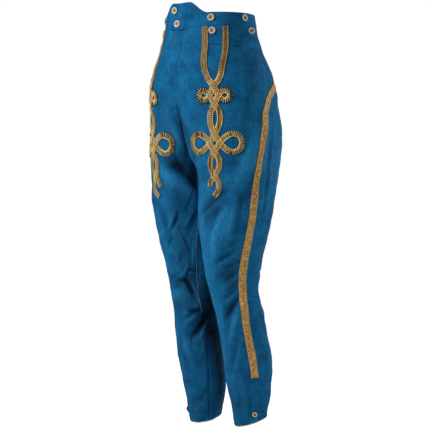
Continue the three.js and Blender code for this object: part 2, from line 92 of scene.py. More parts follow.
# Large folds: a soft ridge, or a trough where height is negative, along a curve of three points.
# Angles run round the leg in degrees: 0 in front, 90 outwards, 180 behind, -90 inwards.
bigFolds = [
    ["left", 112, -212, 84, -296, 30, -410, 26, 26, 5],
    ["left", 62, -390, 18, -430, -36, -474, 22, 22, -6],
    ["left", 66, -415, 36, -484, -4, -553, 24, 24, 5],
    ["left", -44, -395, -50, -450, -58, -504, 24, 24, 6],
    ["left", -30, -247, -42, -316, -70, -356, 20, 20, 4],
    ["left", 70, -553, 40, -583, 8, -593, 18, 18, -3.5],
    ["left", 64, -613, 44, -647, 14, -682, 18, 18, -4],
    ["left", 56, -632, 40, -692, 12, -771, 18, 18, 4],
    ["right", -12, -232, -34, -287, -64, -341, 20, 20, -4],
    ["right", -2, -336, -26, -370, -66, -400, 20, 20, 4],
    ["right", 6, -425, -8, -459, -6, -504, 16, 16, -4],
    ["right", -68, -553, -44, -593, -34, -632, 18, 18, -4],
    ["right", -76, -652, -50, -697, -26, -731, 18, 18, -5],
    ["right", -30, -618, 0, -637, 30, -632, 18, 18, 4],
    ["both", 150, -287, 182, -336, 225, -351, 24, 24, 5],
    ["both", 150, -356, 180, -390, 218, -405, 22, 22, -4],
    ["both", 150, -178, 135, -326, 122, -464, 24, 24, 4],
    ["both", 125, -553, 180, -588, 235, -563, 20, 20, 4],
    ["both", 120, -608, 178, -627, 238, -605, 20, 20, -4],
    ["both", 118, -657, 170, -687, 232, -667, 20, 20, 4],
    ["both", 215, -415, 228, -494, 222, -563, 22, 22, 4],
]

# Creases, placed one by one. The two widths are those of its two flanks, so one may be steeper.
creases = [
    # the front dives in towards the crotch
    ["both", -18, -196, -38, -282, -92, -332, 15, 15, -11],
    ["right", -12, -206, -28, -258, -42, -300, 7, 11, -6],
    ["right", -4, -290, -32, -326, -66, -356, 15, 14, -5],
    ["right", -20, -212, -31, -268, -50, -318, 4, 6, -3.6],
    ["right", -35, -214, -45, -262, -60, -306, 3.5, 5, -3.2],
    ["right", -8, -246, -20, -292, -42, -332, 4, 7, -2.6],
    ["right", -28, -222, -38, -270, -54, -314, 3, 3, 1.8],
    ["left", -13, -226, -22, -270, -36, -322, 3.5, 5, -2.6],
    ["right", 4, -322, -28, -356, -60, -384, 11, 14, 3.4],
    ["right", -28, -258, -40, -296, -50, -330, 5, 5, 2.4],
    ["right", -52, -350, -66, -372, -80, -392, 8, 8, -4],
    ["left", -30, -252, -44, -300, -60, -346, 8, 8, 2.2],
    # the waist, crumpled behind the buttons
    ["left", 2, 36, 10, 24, 14, 6, 3, 6, -2.4],
    ["left", 12, 34, 19, 20, 19, 5, 5, 3, -2.0],
    ["left", 10, 34, 15, 24, 18, 12, 2.4, 2.4, 1.4],
    # hips
    ["left", 73, -96, 71, -140, 75, -214, 2.6, 2.6, 1.0],
    ["left", 110, -52, 104, -118, 100, -180, 2.6, 2.6, 1.0],
    ["left", 84, -120, 78, -180, 66, -250, 12, 9, -1.6],
    ["right", 70, -90, 72, -150, 78, -220, 3, 3, 0.9],
    ["right", 96, -110, 88, -180, 74, -260, 12, 9, -1.8],
    # wearer's left thigh, from the knot down
    ["left", 46, -372, 18, -406, -30, -446, 8, 16, -5.0],
    ["left", 46, -398, 27, -440, 4, -522, 14, 6, 3.2],
    ["left", 14, -466, 6, -520, -6, -570, 2.2, 2.2, -2.2],
    ["left", -8, -440, -22, -464, -38, -478, 6, 8, 2.8],
    ["left", 62, -396, 55, -448, 50, -500, 5, 8, -2.0],
    ["left", 52, -392, 45, -440, 40, -492, 7, 6, 1.8],
    ["left", 88, -240, 74, -300, 52, -372, 9, 12, 2.4],
    ["left", 98, -250, 84, -330, 66, -400, 10, 8, -2.2],
    # behind the lace
    ["left", 104, -196, 99, -300, 92, -440, 6, 8, 1.7],
    ["left", 118, -214, 110, -330, 100, -486, 7, 7, 2.0],
    ["left", 111, -210, 104, -320, 96, -470, 6, 6, -1.8],
    ["left", 132, -250, 124, -380, 112, -530, 9, 9, -2.2],
    ["left", 84, -616, 100, -622, 118, -618, 3, 3, -1.1],
    ["left", 84, -627, 100, -634, 116, -630, 3, 3, -0.9],
    # left knee, fanning out from the lace
    ["left", 64, -494, 52, -507, 38, -518, 3.4, 7, -1.8],
    ["left", 60, -520, 34, -543, -4, -568, 4, 10, -3.2],
    ["left", 64, -548, 50, -558, 30, -566, 3.2, 6, -2.0],
    ["left", 64, -572, 48, -586, 26, -598, 3.2, 6, -2.2],
    ["left", 64, -593, 48, -606, 22, -622, 3.0, 5, -2.2],
    ["left", 62, -606, 40, -624, 8, -643, 3.6, 8, -2.8],
    ["left", 58, -620, 40, -638, 18, -648, 5, 5, 1.8],
    ["left", 58, -632, 34, -660, 4, -690, 3.6, 8, -3.2],
    ["left", 58, -646, 34, -690, 10, -748, 6, 6, 2.6],
    ["left", 56, -672, 40, -728, 10, -796, 7, 11, -2.4],
    ["left", 48, -700, 38, -748, 18, -806, 6, 7, 2.2],
    ["left", 8, -636, -4, -716, -22, -806, 8, 8, 2.0],
    ["left", 70, -690, 64, -760, 60, -830, 7, 9, -1.4],
    ["left", 30, -800, 34, -850, 40, -905, 9, 9, 1.2],
    ["left", -14, -820, -10, -860, -6, -910, 9, 9, -1.2],
    # right thigh
    ["right", -33, -430, -29, -454, -13, -480, 2.2, 5, -4.6],
    ["right", -26, -434, -21, -454, -8, -476, 3.5, 2.6, 2.2],
    ["right", -17, -488, -9, -502, 1, -514, 2.4, 4.5, -2.6],
    ["right", -74, -404, -62, -434, -46, -470, 4, 6, -3.0],
    ["right", -66, -440, -56, -464, -44, -492, 4, 5, -2.2],
    ["right", -60, -386, -52, -410, -46, -432, 4, 5, -2.0],
    ["right", -66, -420, -54, -446, -42, -470, 4, 4, 1.6],
    ["right", 30, -330, 34, -400, 40, -480, 9, 7, 1.8],
    # right knee and calf
    ["right", -40, -569, -50, -571, -63, -575, 2.2, 2.4, -2.4],
    ["right", -40, -556, -31, -575, -15, -592, 2.6, 4, 2.2],
    ["right", -45, -560, -36, -581, -21, -599, 2.4, 4, -2.8],
    ["right", -6, -627, -16, -622, -27, -618, 2.2, 2.4, 2.0],
    ["right", -30, -470, -42, -500, -48, -540, 2.6, 5, -2.2],
    ["right", -24, -520, -30, -545, -40, -562, 2.4, 4, 1.8],
    ["right", -36, -524, -26, -540, -18, -560, 6, 6, -2.8],
    ["right", -60, -500, -52, -530, -50, -565, 5, 5, 1.8],
    ["right", -4, -602, -22, -592, -40, -596, 4, 6, -3.2],
    ["right", -34, -575, -48, -577, -60, -582, 3, 3, 2.0],
    ["right", -26, -592, -34, -612, -47, -638, 5, 7, -6.0],
    ["right", -42, -594, -52, -624, -57, -658, 4, 4, 3.0],
    ["right", 4, -616, -8, -610, -22, -605, 3.5, 4, -2.2],
    ["right", 14, -590, -2, -582, -18, -578, 4, 5, -1.8],
    ["right", -32, -661, -48, -657, -64, -652, 2.4, 3, 2.8],
    ["right", -28, -666, -42, -670, -62, -664, 6, 9, -4.5],
    ["right", -18, -697, -36, -691, -52, -676, 4, 5, 3.0],
    ["right", -16, -688, -32, -680, -46, -667, 4, 4, -2.2],
    ["right", -84, -658, -66, -700, -30, -730, 5, 9, -7.5],
    ["right", -78, -688, -64, -712, -52, -736, 4, 5, 3.4],
    ["right", -62, -724, -59, -750, -59, -780, 5, 5, 1.8],
    ["right", -2, -708, -14, -750, -32, -804, 8, 8, 2.2],
    ["right", -29, -722, -31, -735, -30, -750, 3, 3, -1.6],
    ["right", 30, -560, 26, -640, 18, -720, 10, 8, 2.0],
    ["right", 10, -740, 0, -790, -8, -850, 8, 10, -1.8],
    ["right", 66, -560, 48, -580, 34, -586, 4, 6, -2.0],
    ["right", 62, -600, 46, -622, 30, -632, 4, 7, -2.4],
    ["right", 58, -640, 42, -668, 30, -700, 5, 8, -2.4],
    ["right", 66, -650, 56, -710, 44, -770, 7, 7, 2.0],
    ["right", 112, -214, 104, -330, 96, -470, 7, 8, 1.8],
    ["right", 124, -240, 116, -370, 106, -520, 8, 8, -2.0],
    # seat and backs of the knees
    ["both", 148, -96, 146, -190, 158, -300, 12, 9, -2.2],
    ["both", 166, -120, 170, -220, 184, -300, 14, 10, 2.0],
    ["both", 160, -318, 190, -340, 232, -344, 6, 10, -3.2],
    ["left", 150, -336, 184, -362, 226, -372, 7, 9, 2.6],
    ["right", 144, -344, 176, -372, 222, -380, 7, 9, 2.6],
    ["left", 140, -376, 172, -410, 206, -452, 6, 10, -2.6],
    ["right", 136, -388, 168, -424, 200, -470, 6, 10, -2.4],
    ["both", 200, -440, 190, -500, 178, -560, 9, 9, 1.8],
    ["left", 136, -570, 166, -586, 206, -576, 4, 7, -2.2],
    ["left", 140, -594, 176, -604, 232, -590, 4, 8, -2.6],
    ["left", 140, -618, 178, -630, 226, -620, 5, 7, -2.4],
    ["left", 136, -648, 164, -662, 204, -654, 5, 8, -1.8],
    ["right", 116, -560, 158, -576, 214, -566, 4, 7, -3.0],
    ["right", 120, -586, 170, -606, 228, -596, 4, 8, -3.6],
    ["right", 114, -616, 160, -632, 220, -622, 5, 7, -3.0],
    ["right", 122, -644, 166, -668, 212, -660, 5, 8, -2.6],
    ["both", 120, -700, 130, -760, 136, -830, 9, 9, 1.8],
    ["both", 190, -700, 196, -770, 200, -850, 10, 8, -1.8],
    ["both", 160, -720, 162, -790, 160, -870, 10, 10, 1.4],
    ["both", 262, -640, 250, -700, 236, -770, 8, 8, 2.0],
]

# Patches of painted shade where positive and painted light where negative, with some real soiling among them:
# leg, angle, height, reach up and round in mm, and how much darker.
shadeLightAndSoilNotes = [
    ["right", -62, -336, 62, 20, 1.0],
    ["right", -62, -350, 22, 12, 0.8],
    ["left", -36, -360, 26, 9, 0.7],
    ["right", -44, -306, 34, 12, 0.4],
    ["left", -62, -330, 50, 16, 0.7],
    ["right", -42, -245, 44, 18, 0.6],
    ["right", -40, -215, 70, 36, 0.3],
    ["right", -5, -225, 110, 52, 0.25],
    ["right", -34, -440, 100, 26, 0.45],
    ["right", -30, -545, 50, 16, 0.35],
    ["right", -34, -620, 66, 46, 0.45],
    ["right", -98, -560, 190, 26, 0.9],
    ["right", -72, -690, 80, 30, 0.8],
    ["right", -20, -790, 70, 60, 0.25],
    ["right", 37, -60, 60, 16, 0.35],
    ["right", 34, -360, 60, 18, 0.6],
    ["right", 37, -800, 110, 13, 0.3],
    ["right", -50, -850, 60, 12, -0.2],
    ["right", -101, -772, 66, 17, 0.75],
    ["right", -101, -850, 60, 17, 0.75],
    ["left", -75, -560, 200, 22, 0.4],
    ["left", -15, -244, 36, 15, 0.6],
    ["left", -28, -350, 34, 12, 0.8],
    ["right", -37, -288, 34, 18, 0.35],
    ["left", 38, -592, 70, 28, 0.4],
    ["left", 10, -740, 70, 40, 0.2],
    ["left", 58, -420, 60, 18, 0.2],
    ["left", 20, -900, 66, 90, 0.4],
    ["right", -30, -905, 60, 90, 0.35],
    ["left", 14, 24, 14, 16, 0.5],
    ["left", 70, 20, 40, 40, 0.2],
    ["left", 78, -262, 90, 34, -0.4],
    ["left", 52, -230, 90, 22, -0.22],
    ["left", 12, -360, 60, 16, -0.2],
    ["left", 112, -290, 120, 34, -0.3],
    ["left", 130, -300, 170, 16, -0.6],
    ["left", -24, -500, 120, 20, -0.8],
    ["left", 30, -440, 44, 13, -0.6],
    ["left", 14, -505, 44, 12, -0.6],
    ["left", -2, -560, 44, 12, -0.5],
    ["left", -20, -660, 80, 16, -0.4],
    ["both", 178, -290, 70, 50, 0.25],
    ["both", 180, -610, 60, 50, 0.3],
]


# the painted shade and painted light of the patches, with some soiling, summed at each point
def shadeLightAndSoilAt(side, a, z, perDegree):
    total = np.zeros(a.shape)
    for leg, a0, z0, tall, wide, strength in shadeLightAndSoilNotes:
        if leg not in ("both", sideName(side)):
            continue
        for turn in (-360, 0, 360):
            far = ((z - z0) / tall) ** 2 + ((a - a0 - turn) * perDegree / wide) ** 2
            total = total + strength * np.exp(-far * 1.2)
    return np.clip(total, -1, 1)


def alongTable(rows, key, at, column):
    # smooth curve through a table's rows
    xs, ys = rows[key], rows[column]
    sign = 1 if xs[-1] > xs[0] else -1
    k = np.searchsorted(sign * xs[1:-1], sign * np.asarray(at, float), side="left")
    before, after = np.maximum(k - 1, 0), np.minimum(k + 2, len(xs) - 1)
    span = xs[k + 1] - xs[k]
    t = np.clip((at - xs[k]) / span, 0, 1)
    slopeA = (ys[k + 1] - ys[before]) / (xs[k + 1] - xs[before]) * span
    slopeB = (ys[after] - ys[k]) / (xs[after] - xs[k]) * span
    t2, t3 = t * t, t * t * t
    return (
        (2 * t3 - 3 * t2 + 1) * ys[k] + (t3 - 2 * t2 + t) * slopeA
        + (3 * t2 - 2 * t3) * ys[k + 1] + (t3 - t2) * slopeB
    )


def smoothStep(x):
    t = np.clip(x, 0, 1)
    return t * t * (3 - 2 * t)


def sectionAt(z):
    s = {c: alongTable(legSections, "z", z, c) for c in legSections if c != "z"}
    middle = s["cx"] - cut["seamGap"] / 2
    above = np.asarray(z) >= cut["crotchZ"]
    s["inner"] = np.where(above, np.maximum(s["inner"], middle), np.minimum(s["inner"], middle))
    return s


def meanDegree(s):
    # the mean length of one degree round a section
    return (s["outer"] + s["inner"] + s["front"] + s["back"]) / 4 * rad


def middleAngle(s):
    # the angle, from the front inwards, where a section reaches the plane between the legs
    return np.degrees(np.arcsin(np.clip((s["cx"] - cut["seamGap"] / 2) / s["inner"], -1, 1)))


def frontEdge(z):
    s = sectionAt(z)
    return np.where(z >= cut["crotchZ"], -middleAngle(s), s["inseam"])


def backEdge(z):
    s = sectionAt(z)
    return np.where(z >= cut["crotchZ"], 180 + middleAngle(s), 360 + s["inseam"])


def foldPaths(rows):
    made = []
    for leg, a0, z0, a1, z1, a2, z2, wideA, wideB, height in rows:
        t = np.linspace(0, 1, 9)
        made.append({
            "leg": leg, "wideA": wideA, "wideB": wideB, "height": height,
            "a": (1 - t) ** 2 * a0 + 2 * t * (1 - t) * a1 + t * t * a2,
            "z": (1 - t) ** 2 * z0 + 2 * t * (1 - t) * z1 + t * t * z2,
        })
    return made


folds = foldPaths(bigFolds + creases)


def foldHeight(side, a, z, s):
    perDegree = meanDegree(s)
    height = np.zeros(a.shape)
    for f in folds:
        if f["leg"] not in ("both", sideName(side)):
            continue
        reach = 3 * max(f["wideA"], f["wideB"])
        for turn in (-360, 0, 360):
            near = (
                (z > f["z"].min() - reach) & (z < f["z"].max() + reach)
                & ((a - f["a"].min() - turn) * perDegree > -reach)
                & ((a - f["a"].max() - turn) * perDegree < reach)
            )
            if not near.any():
                continue
            an, zn, pn = a[near], z[near], perDegree[near]
            best = np.full(an.shape, np.inf)
            place = np.zeros(an.shape)
            flank = np.zeros(an.shape)
            last = len(f["a"]) - 1
            for k in range(last):
                px, pz = (f["a"][k] + turn - an) * pn, f["z"][k] - zn
                dx, dz = (f["a"][k + 1] - f["a"][k]) * pn, f["z"][k + 1] - f["z"][k]
                t = np.clip(-(px * dx + pz * dz) / (dx * dx + dz * dz), 0, 1)
                far = np.hypot(px + t * dx, pz + t * dz)
                closer = far < best
                best = np.where(closer, far, best)
                place = np.where(closer, (k + t) / last, place)
                flank = np.where(closer, dz * px - dx * pz, flank)
            wide = np.where(flank > 0, f["wideA"], f["wideB"])
            ends = np.sin(np.pi * (0.08 + 0.84 * place))
            height[near] += f["height"] * np.exp(-((best / wide) ** 2)) * ends
    return height


# Faint unevenness of a worn, soft cloth, made of waves that never repeat together: length, phase and height.
waves = {
    "long": [(61, 0.6, 0.55), (83, 2.1, 0.5), (47, 4.4, 0.35)],
    "short": [(23, 1.3, 0.14), (17, 5.2, 0.1)],
}


def unevenness(side, x, z):
    total = np.zeros(np.shape(x))
    for group in waves.values():
        for k, (length, phase, high) in enumerate(group):
            turn = phase + side * (0.7 + k)
            lean = 0.45 + 0.5 * math.sin(3.1 * length)
            total = total + high * np.sin(
                2 * np.pi * (x * math.cos(lean) + z * math.sin(lean)) / length + turn
                + 1.4 * np.sin(2 * np.pi * (z - 0.6 * x) / (length * 2.3) + phase)
            )
    return total


def clothAt(side, a, z):
    # the outer face of the cloth; side is 1 for the wearer's left
    a, z = np.broadcast_arrays(np.asarray(a, float), np.asarray(z, float))
    s = sectionAt(z)
    sin, cos = np.sin(a * rad), np.cos(a * rad)
    rx, ry = np.where(sin < 0, s["inner"], s["outer"]), np.where(cos > 0, s["front"], s["back"])
    ox, oy = sin / rx, -cos / ry
    size = np.hypot(ox, oy)
    ox, oy = ox / size, oy / size
    lift = foldHeight(side, a, z, s)
    plainX = s["cx"] + rx * sin
    # the middle seams stay in the middle plane, and the two sides meet there
    held = (1 - smoothStep(plainX / 22)) * smoothStep((z - cut["crotchZ"] + 25) / 25)
    if (held > 0).any():
        other = foldHeight(-side, a, z, s)
        lift = lift + held * (other - lift) / 2
    lift = lift + unevenness(side, a * 1.6, z) * (1 - held) * smoothStep(-z / 30)
    x = plainX + ox * lift * (1 - held)
    y = s["cy"] - ry * cos + oy * lift
    nearWaist = smoothStep((z + cut["dipBlend"]) / cut["dipBlend"])
    dip = cut["waistDip"] * nearWaist * (1 - smoothStep(x / 90)) * (cos > 0)
    hemTurn = -cut["hemFrontDrop"] * cos + cut["hemSideLift"] * sin
    turn = smoothStep((cut["hemZ"] + cut["hemBlend"] - z) / cut["hemBlend"]) * hemTurn - dip
    return np.stack([side * np.maximum(x, cut["seamGap"] / 2), y, z + turn], -1)


def unit(values):
    return values / np.linalg.norm(values, axis=-1, keepdims=True)


def onCloth(side, a, z, out=0.0):
    # a point moved out along the cloth's normal, and that normal
    a, z = np.broadcast_arrays(np.asarray(a, float), np.asarray(z, float))
    around = clothAt(side, a + 0.6, z) - clothAt(side, a - 0.6, z)
    down = clothAt(side, a, z - 1.5) - clothAt(side, a, z + 1.5)
    normal = unit(np.cross(down, around) * side)
    return clothAt(side, a, z) + normal * np.asarray(out)[..., None], normal


def frontAngle(z, x):
    s = sectionAt(z)
    wide = np.where(x > s["cx"], s["outer"], s["inner"])
    return np.degrees(np.arcsin(np.clip((x - s["cx"]) / wide, -1, 1)))


def frontPoint(x, z, out):
    # x is measured from the centre front, negative on the wearer's right
    x, z, out = np.broadcast_arrays(np.asarray(x, float), np.asarray(z, float), np.asarray(out, float))
    far = np.maximum(np.abs(x), cut["seamGap"] / 2)
    a = frontAngle(z, far)
    onLeft, normalLeft = onCloth(1, a, z, out)
    onRight, normalRight = onCloth(-1, a, z, out)
    leftward = (x >= 0)[..., None]
    point, normal = np.where(leftward, onLeft, onRight), np.where(leftward, normalLeft, normalRight)
    point[..., 0] = x
    return point, normal


def addObject(name, data):
    made = bpy.data.objects.new(name, data)
    bpy.context.scene.collection.objects.link(made)
    return made


def meshPiece(name, points, faces, uv, fields):
    made = bpy.data.meshes.new(name)
    made.from_pydata((np.asarray(points) * mm).tolist(), [], faces)
    made.polygons.foreach_set("use_smooth", [True] * len(made.polygons))
    corners = np.zeros(len(made.loops), int)
    made.loops.foreach_get("vertex_index", corners)
    layer = made.uv_layers.new(name="cloth")
    layer.data.foreach_set("uv", (np.asarray(uv) * mm)[corners].ravel())
    for field, values in fields.items():
        layer = made.attributes.new(field, "FLOAT", "POINT")
        layer.data.foreach_set("value", np.asarray(values, np.float32))
    return addObject(name, made)


def shell(name, outer, inner, uv, wrap=False, roll=0.4, fields=None):
    # a closed wall between two grids of points, its rim rolled; wrap joins the last column to the first
    rows, columns = outer.shape[:2]
    count = rows * columns
    ids = np.arange(count).reshape(rows, columns)
    wide = np.concatenate([ids, ids[:, :1]], 1) if wrap else ids
    a, b, c, d = wide[:-1, :-1], wide[1:, :-1], wide[1:, 1:], wide[:-1, 1:]
    outerQuads = np.stack([a, b, c, d], -1).reshape(-1, 4)
    innerQuads = np.stack([a, d, c, b], -1).reshape(-1, 4) + count
    if wrap:
        rims = [wide[0], wide[-1][::-1]]
    else:
        rims = [np.concatenate([ids[0, :-1], ids[:-1, -1], ids[-1, :0:-1], ids[:0:-1, 0], ids[0, :1]])]
    flatOuter, flatInner = outer.reshape(-1, 3), inner.reshape(-1, 3)
    inRow = np.clip(np.arange(count) // columns, 1, rows - 2)
    inColumn = np.arange(count) % columns
    if not wrap:
        inColumn = np.clip(inColumn, 1, columns - 2)
    quads, mids, midFrom = [outerQuads, innerQuads], [], []
    for rim in rims:
        ring = rim[:-1]
        away = flatOuter[ring] - outer[inRow[ring], inColumn[ring]]
        away = away / np.maximum(np.linalg.norm(away, axis=1, keepdims=True), 1e-6)
        thick = np.linalg.norm(flatOuter[ring] - flatInner[ring], axis=1, keepdims=True)
        base = 2 * count + sum(len(m) for m in mids)
        mids.append((flatOuter[ring] + flatInner[ring]) / 2 + away * thick * roll)
        midFrom.append(ring)
        k = np.arange(len(ring))
        m, mNext = base + k, base + (k + 1) % len(ring)
        quads.append(np.stack([rim[:-1], rim[1:], mNext, m], -1))
        quads.append(np.stack([m, mNext, rim[1:] + count, rim[:-1] + count], -1))
    points = np.concatenate([flatOuter, flatInner] + mids)
    quads = np.concatenate(quads)
    p = points[quads]
    volume = np.einsum("ij,ij->i", p[:, 0], np.cross(p[:, 1], p[:, 2])).sum()
    volume += np.einsum("ij,ij->i", p[:, 0], np.cross(p[:, 2], p[:, 3])).sum()
    if volume < 0:
        quads = quads[:, ::-1]
    source = np.concatenate([np.arange(count), np.arange(count)] + midFrom)
    spread = {k: v.reshape(-1)[source] for k, v in (fields or {}).items()}
    return meshPiece(name, points, quads.tolist(), uv.reshape(-1, 2)[source], spread)


def softened(values, rowsWide, columnsWide):
    # box blur of a grid
    for axis, wide in ((0, rowsWide), (1, columnsWide)):
        pad = [(wide, wide) if k == axis else (0, 0) for k in (0, 1)]
        added = np.cumsum(np.pad(values, pad, mode="edge"), axis=axis)
        size = values.shape[axis]
        upper = np.take(added, np.arange(2 * wide, 2 * wide + size), axis=axis)
        lower = np.take(added, np.arange(0, size), axis=axis)
        values = (upper - lower) / (2 * wide)
    return values


def lengthsAlong(points):
    # how far each point of a line is from its start
    return np.concatenate([[0], np.cumsum(np.linalg.norm(np.diff(points, axis=0), axis=1))])


def mapOf(across, along):
    # the flat map of a grid: a distance for each column, and one for each row or point
    return np.stack(np.broadcast_arrays(across[None, :], along), -1)


def settle(piece, material, slotName, *replaced):
    piece.data.materials.clear()
    piece.data.materials.append(material)
    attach(piece, "root")
    if replaced:
        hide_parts(*replaced)
    return piece


def addNode(tree, kind, values=None, **settings):
    made = tree.nodes.new(kind)
    for name, value in settings.items():
        setattr(made, name, value)
    for name, value in (values or {}).items():
        socket = made.inputs[name]
        if isinstance(value, bpy.types.NodeSocket):
            tree.links.new(value, socket)
        else:
            socket.default_value = value
    return made


def mathOf(tree, operation, a, b=0.0, c=0.0, clamp=False):
    return addNode(tree, "ShaderNodeMath", {0: a, 1: b, 2: c}, operation=operation, use_clamp=clamp).outputs[0]


def scaleOf(tree, value, factor, offset, clamp=False):
    return mathOf(tree, "MULTIPLY_ADD", value, factor, offset, clamp)


def shareOf(tree, value, factor, clamp=False):
    return mathOf(tree, "MULTIPLY", value, factor, clamp=clamp)


def mixOf(tree, factor, a, b):
    # a and b are colours, given as a socket or as a code
    made = addNode(tree, "ShaderNodeMix", data_type="RGBA")
    for index, value in ((0, factor), (6, a), (7, b)):
        if isinstance(value, bpy.types.NodeSocket):
            tree.links.new(value, made.inputs[index])
        else:
            made.inputs[index].default_value = hexColour(value)
    return made.outputs[2]


def hexColour(code):
    parts = [int(code[i:i + 2], 16) / 255 for i in (0, 2, 4)]
    return tuple(p / 12.92 if p <= 0.04045 else ((p + 0.055) / 1.055) ** 2.4 for p in parts) + (1.0,)


def clothMap(tree):
    return addNode(tree, "ShaderNodeUVMap", uv_map="cloth").outputs[0]


def placeOf(tree):
    return addNode(tree, "ShaderNodeTexCoord").outputs["Object"]


def fieldOf(tree, name):
    return addNode(tree, "ShaderNodeAttribute", attribute_name=name).outputs["Fac"]


def newGroup(name, inputs, outputs):
    group = bpy.data.node_groups.new(name, "ShaderNodeTree")
    for label, kind, value in inputs:
        socket = group.interface.new_socket(label, in_out="INPUT", socket_type=kind)
        if value is not None:
            socket.default_value = value
    for label in outputs:
        group.interface.new_socket(label, in_out="OUTPUT", socket_type="NodeSocketFloat")
    return group, group.nodes.new("NodeGroupInput"), group.nodes.new("NodeGroupOutput")


def makeWeaveGroup():
    # crossing threads on the cloth's own measure; pitch is the distance between threads
    group, given, result = newGroup("threadWeave", [
        ("Vector", "NodeSocketVector", None), ("Pitch", "NodeSocketFloat", 0.001),
        ("Slant", "NodeSocketFloat", 1.0),
    ], ["Height", "Thread"])
    parts = addNode(group, "ShaderNodeSeparateXYZ", {0: given.outputs["Vector"]})
    turns = mathOf(group, "DIVIDE", 2 * math.pi, given.outputs["Pitch"])
    slanted = scaleOf(group, parts.outputs[1], given.outputs["Slant"], parts.outputs[0])
    ribs = mathOf(group, "SINE", shareOf(group, slanted, turns))
    across = mathOf(group, "SINE", shareOf(group, parts.outputs[1], turns))
    both = scaleOf(group, across, 0.35, ribs)
    group.links.new(scaleOf(group, both, 0.37, 0.5), result.inputs["Height"])
    group.links.new(scaleOf(group, ribs, 0.5, 0.5), result.inputs["Thread"])
    return group


def makeMottleGroup():
    # soft uneven patches, with a finer nap on top
    group, given, result = newGroup("feltMottle", [
        ("Vector", "NodeSocketVector", None), ("Patch", "NodeSocketFloat", 20.0),
        ("Nap", "NodeSocketFloat", 400.0),
    ], ["Patches", "Nap"])
    patch = addNode(group, "ShaderNodeTexNoise", {
        "Vector": given.outputs["Vector"], "Scale": given.outputs["Patch"], "Detail": 5.0, "Roughness": 0.62,
    })
    nap = addNode(group, "ShaderNodeTexNoise", {
        "Vector": given.outputs["Vector"], "Scale": given.outputs["Nap"], "Detail": 3.0, "Roughness": 0.7,
    })
    group.links.new(patch.outputs[0], result.inputs["Patches"])
    group.links.new(nap.outputs[0], result.inputs["Nap"])
    return group


def makeFleckGroup():
    # metal thread catches the light unevenly: bright flecks are painted glints and dark flecks darker thread,
    # of a given size
    group, given, result = newGroup("metalFlecks", [
        ("Vector", "NodeSocketVector", None), ("Across", "NodeSocketFloat", 500.0),
        ("Along", "NodeSocketFloat", 400.0),
    ], ["Bright", "Dark", "Height"])
    sizes = addNode(group, "ShaderNodeCombineXYZ", {
        "X": given.outputs["Across"], "Y": given.outputs["Along"], "Z": 1.0,
    })
    scaled = addNode(group, "ShaderNodeVectorMath", {
        0: given.outputs["Vector"], 1: sizes.outputs[0],
    }, operation="MULTIPLY")
    cells = addNode(group, "ShaderNodeTexVoronoi", {"Vector": scaled.outputs[0], "Scale": 1.0}, feature="F1")
    tone = addNode(group, "ShaderNodeSeparateColor", {0: cells.outputs["Color"]})
    group.links.new(scaleOf(group, tone.outputs[0], 6.0, -3.7, True), result.inputs["Bright"])
    group.links.new(scaleOf(group, tone.outputs[1], 6.0, -3.8, True), result.inputs["Dark"])
    group.links.new(scaleOf(group, cells.outputs["Distance"], -1.2, 1.0, True), result.inputs["Height"])
    return group


weaveGroup = makeWeaveGroup()
mottleGroup = makeMottleGroup()
fleckGroup = makeFleckGroup()


def groupIn(tree, group, values):
    return addNode(tree, "ShaderNodeGroup", values, node_tree=group)


def newMaterial(name, **constants):
    made = bpy.data.materials.new(name)
    made.use_nodes = True
    tree = made.node_tree
    shader = tree.nodes["Principled BSDF"]
    for label, value in constants.items():
        shader.inputs[label.replace("_", " ")].default_value = value
    return made, tree, shader


def finishSurface(tree, shader, base, height, strength, depth, rough=None):
    # colour, roughness, and relief of a depth in mm
    tree.links.new(base, shader.inputs["Base Color"])
    if rough is not None:
        tree.links.new(rough, shader.inputs["Roughness"])
    bump = addNode(tree, "ShaderNodeBump", {"Strength": strength, "Distance": depth * mm, "Height": height})
    tree.links.new(bump.outputs[0], shader.inputs["Normal"])


# deep is painted shade in valleys and dark grain; crest is painted highlight on crests, painted light and pale
# grain; the darkest colour is painted shade with some soiling
wool = {
    "light": "1387c2", "main": "035587", "deep": "01243f", "crest": "2c97d2", "shadeAndSoil": "01101e",
    "sheen": "5fb4e6", "pitch": 0.0011, "patch": 30.0, "nap": 900.0, "streaks": (340.0, 80.0, 1.0),
    "valleyShadeShare": 0.25, "crestHighlightShare": 0.26, "paintedLightShare": 0.75, "darkGrain": 0.5, "paleGrain": 0.4,
}


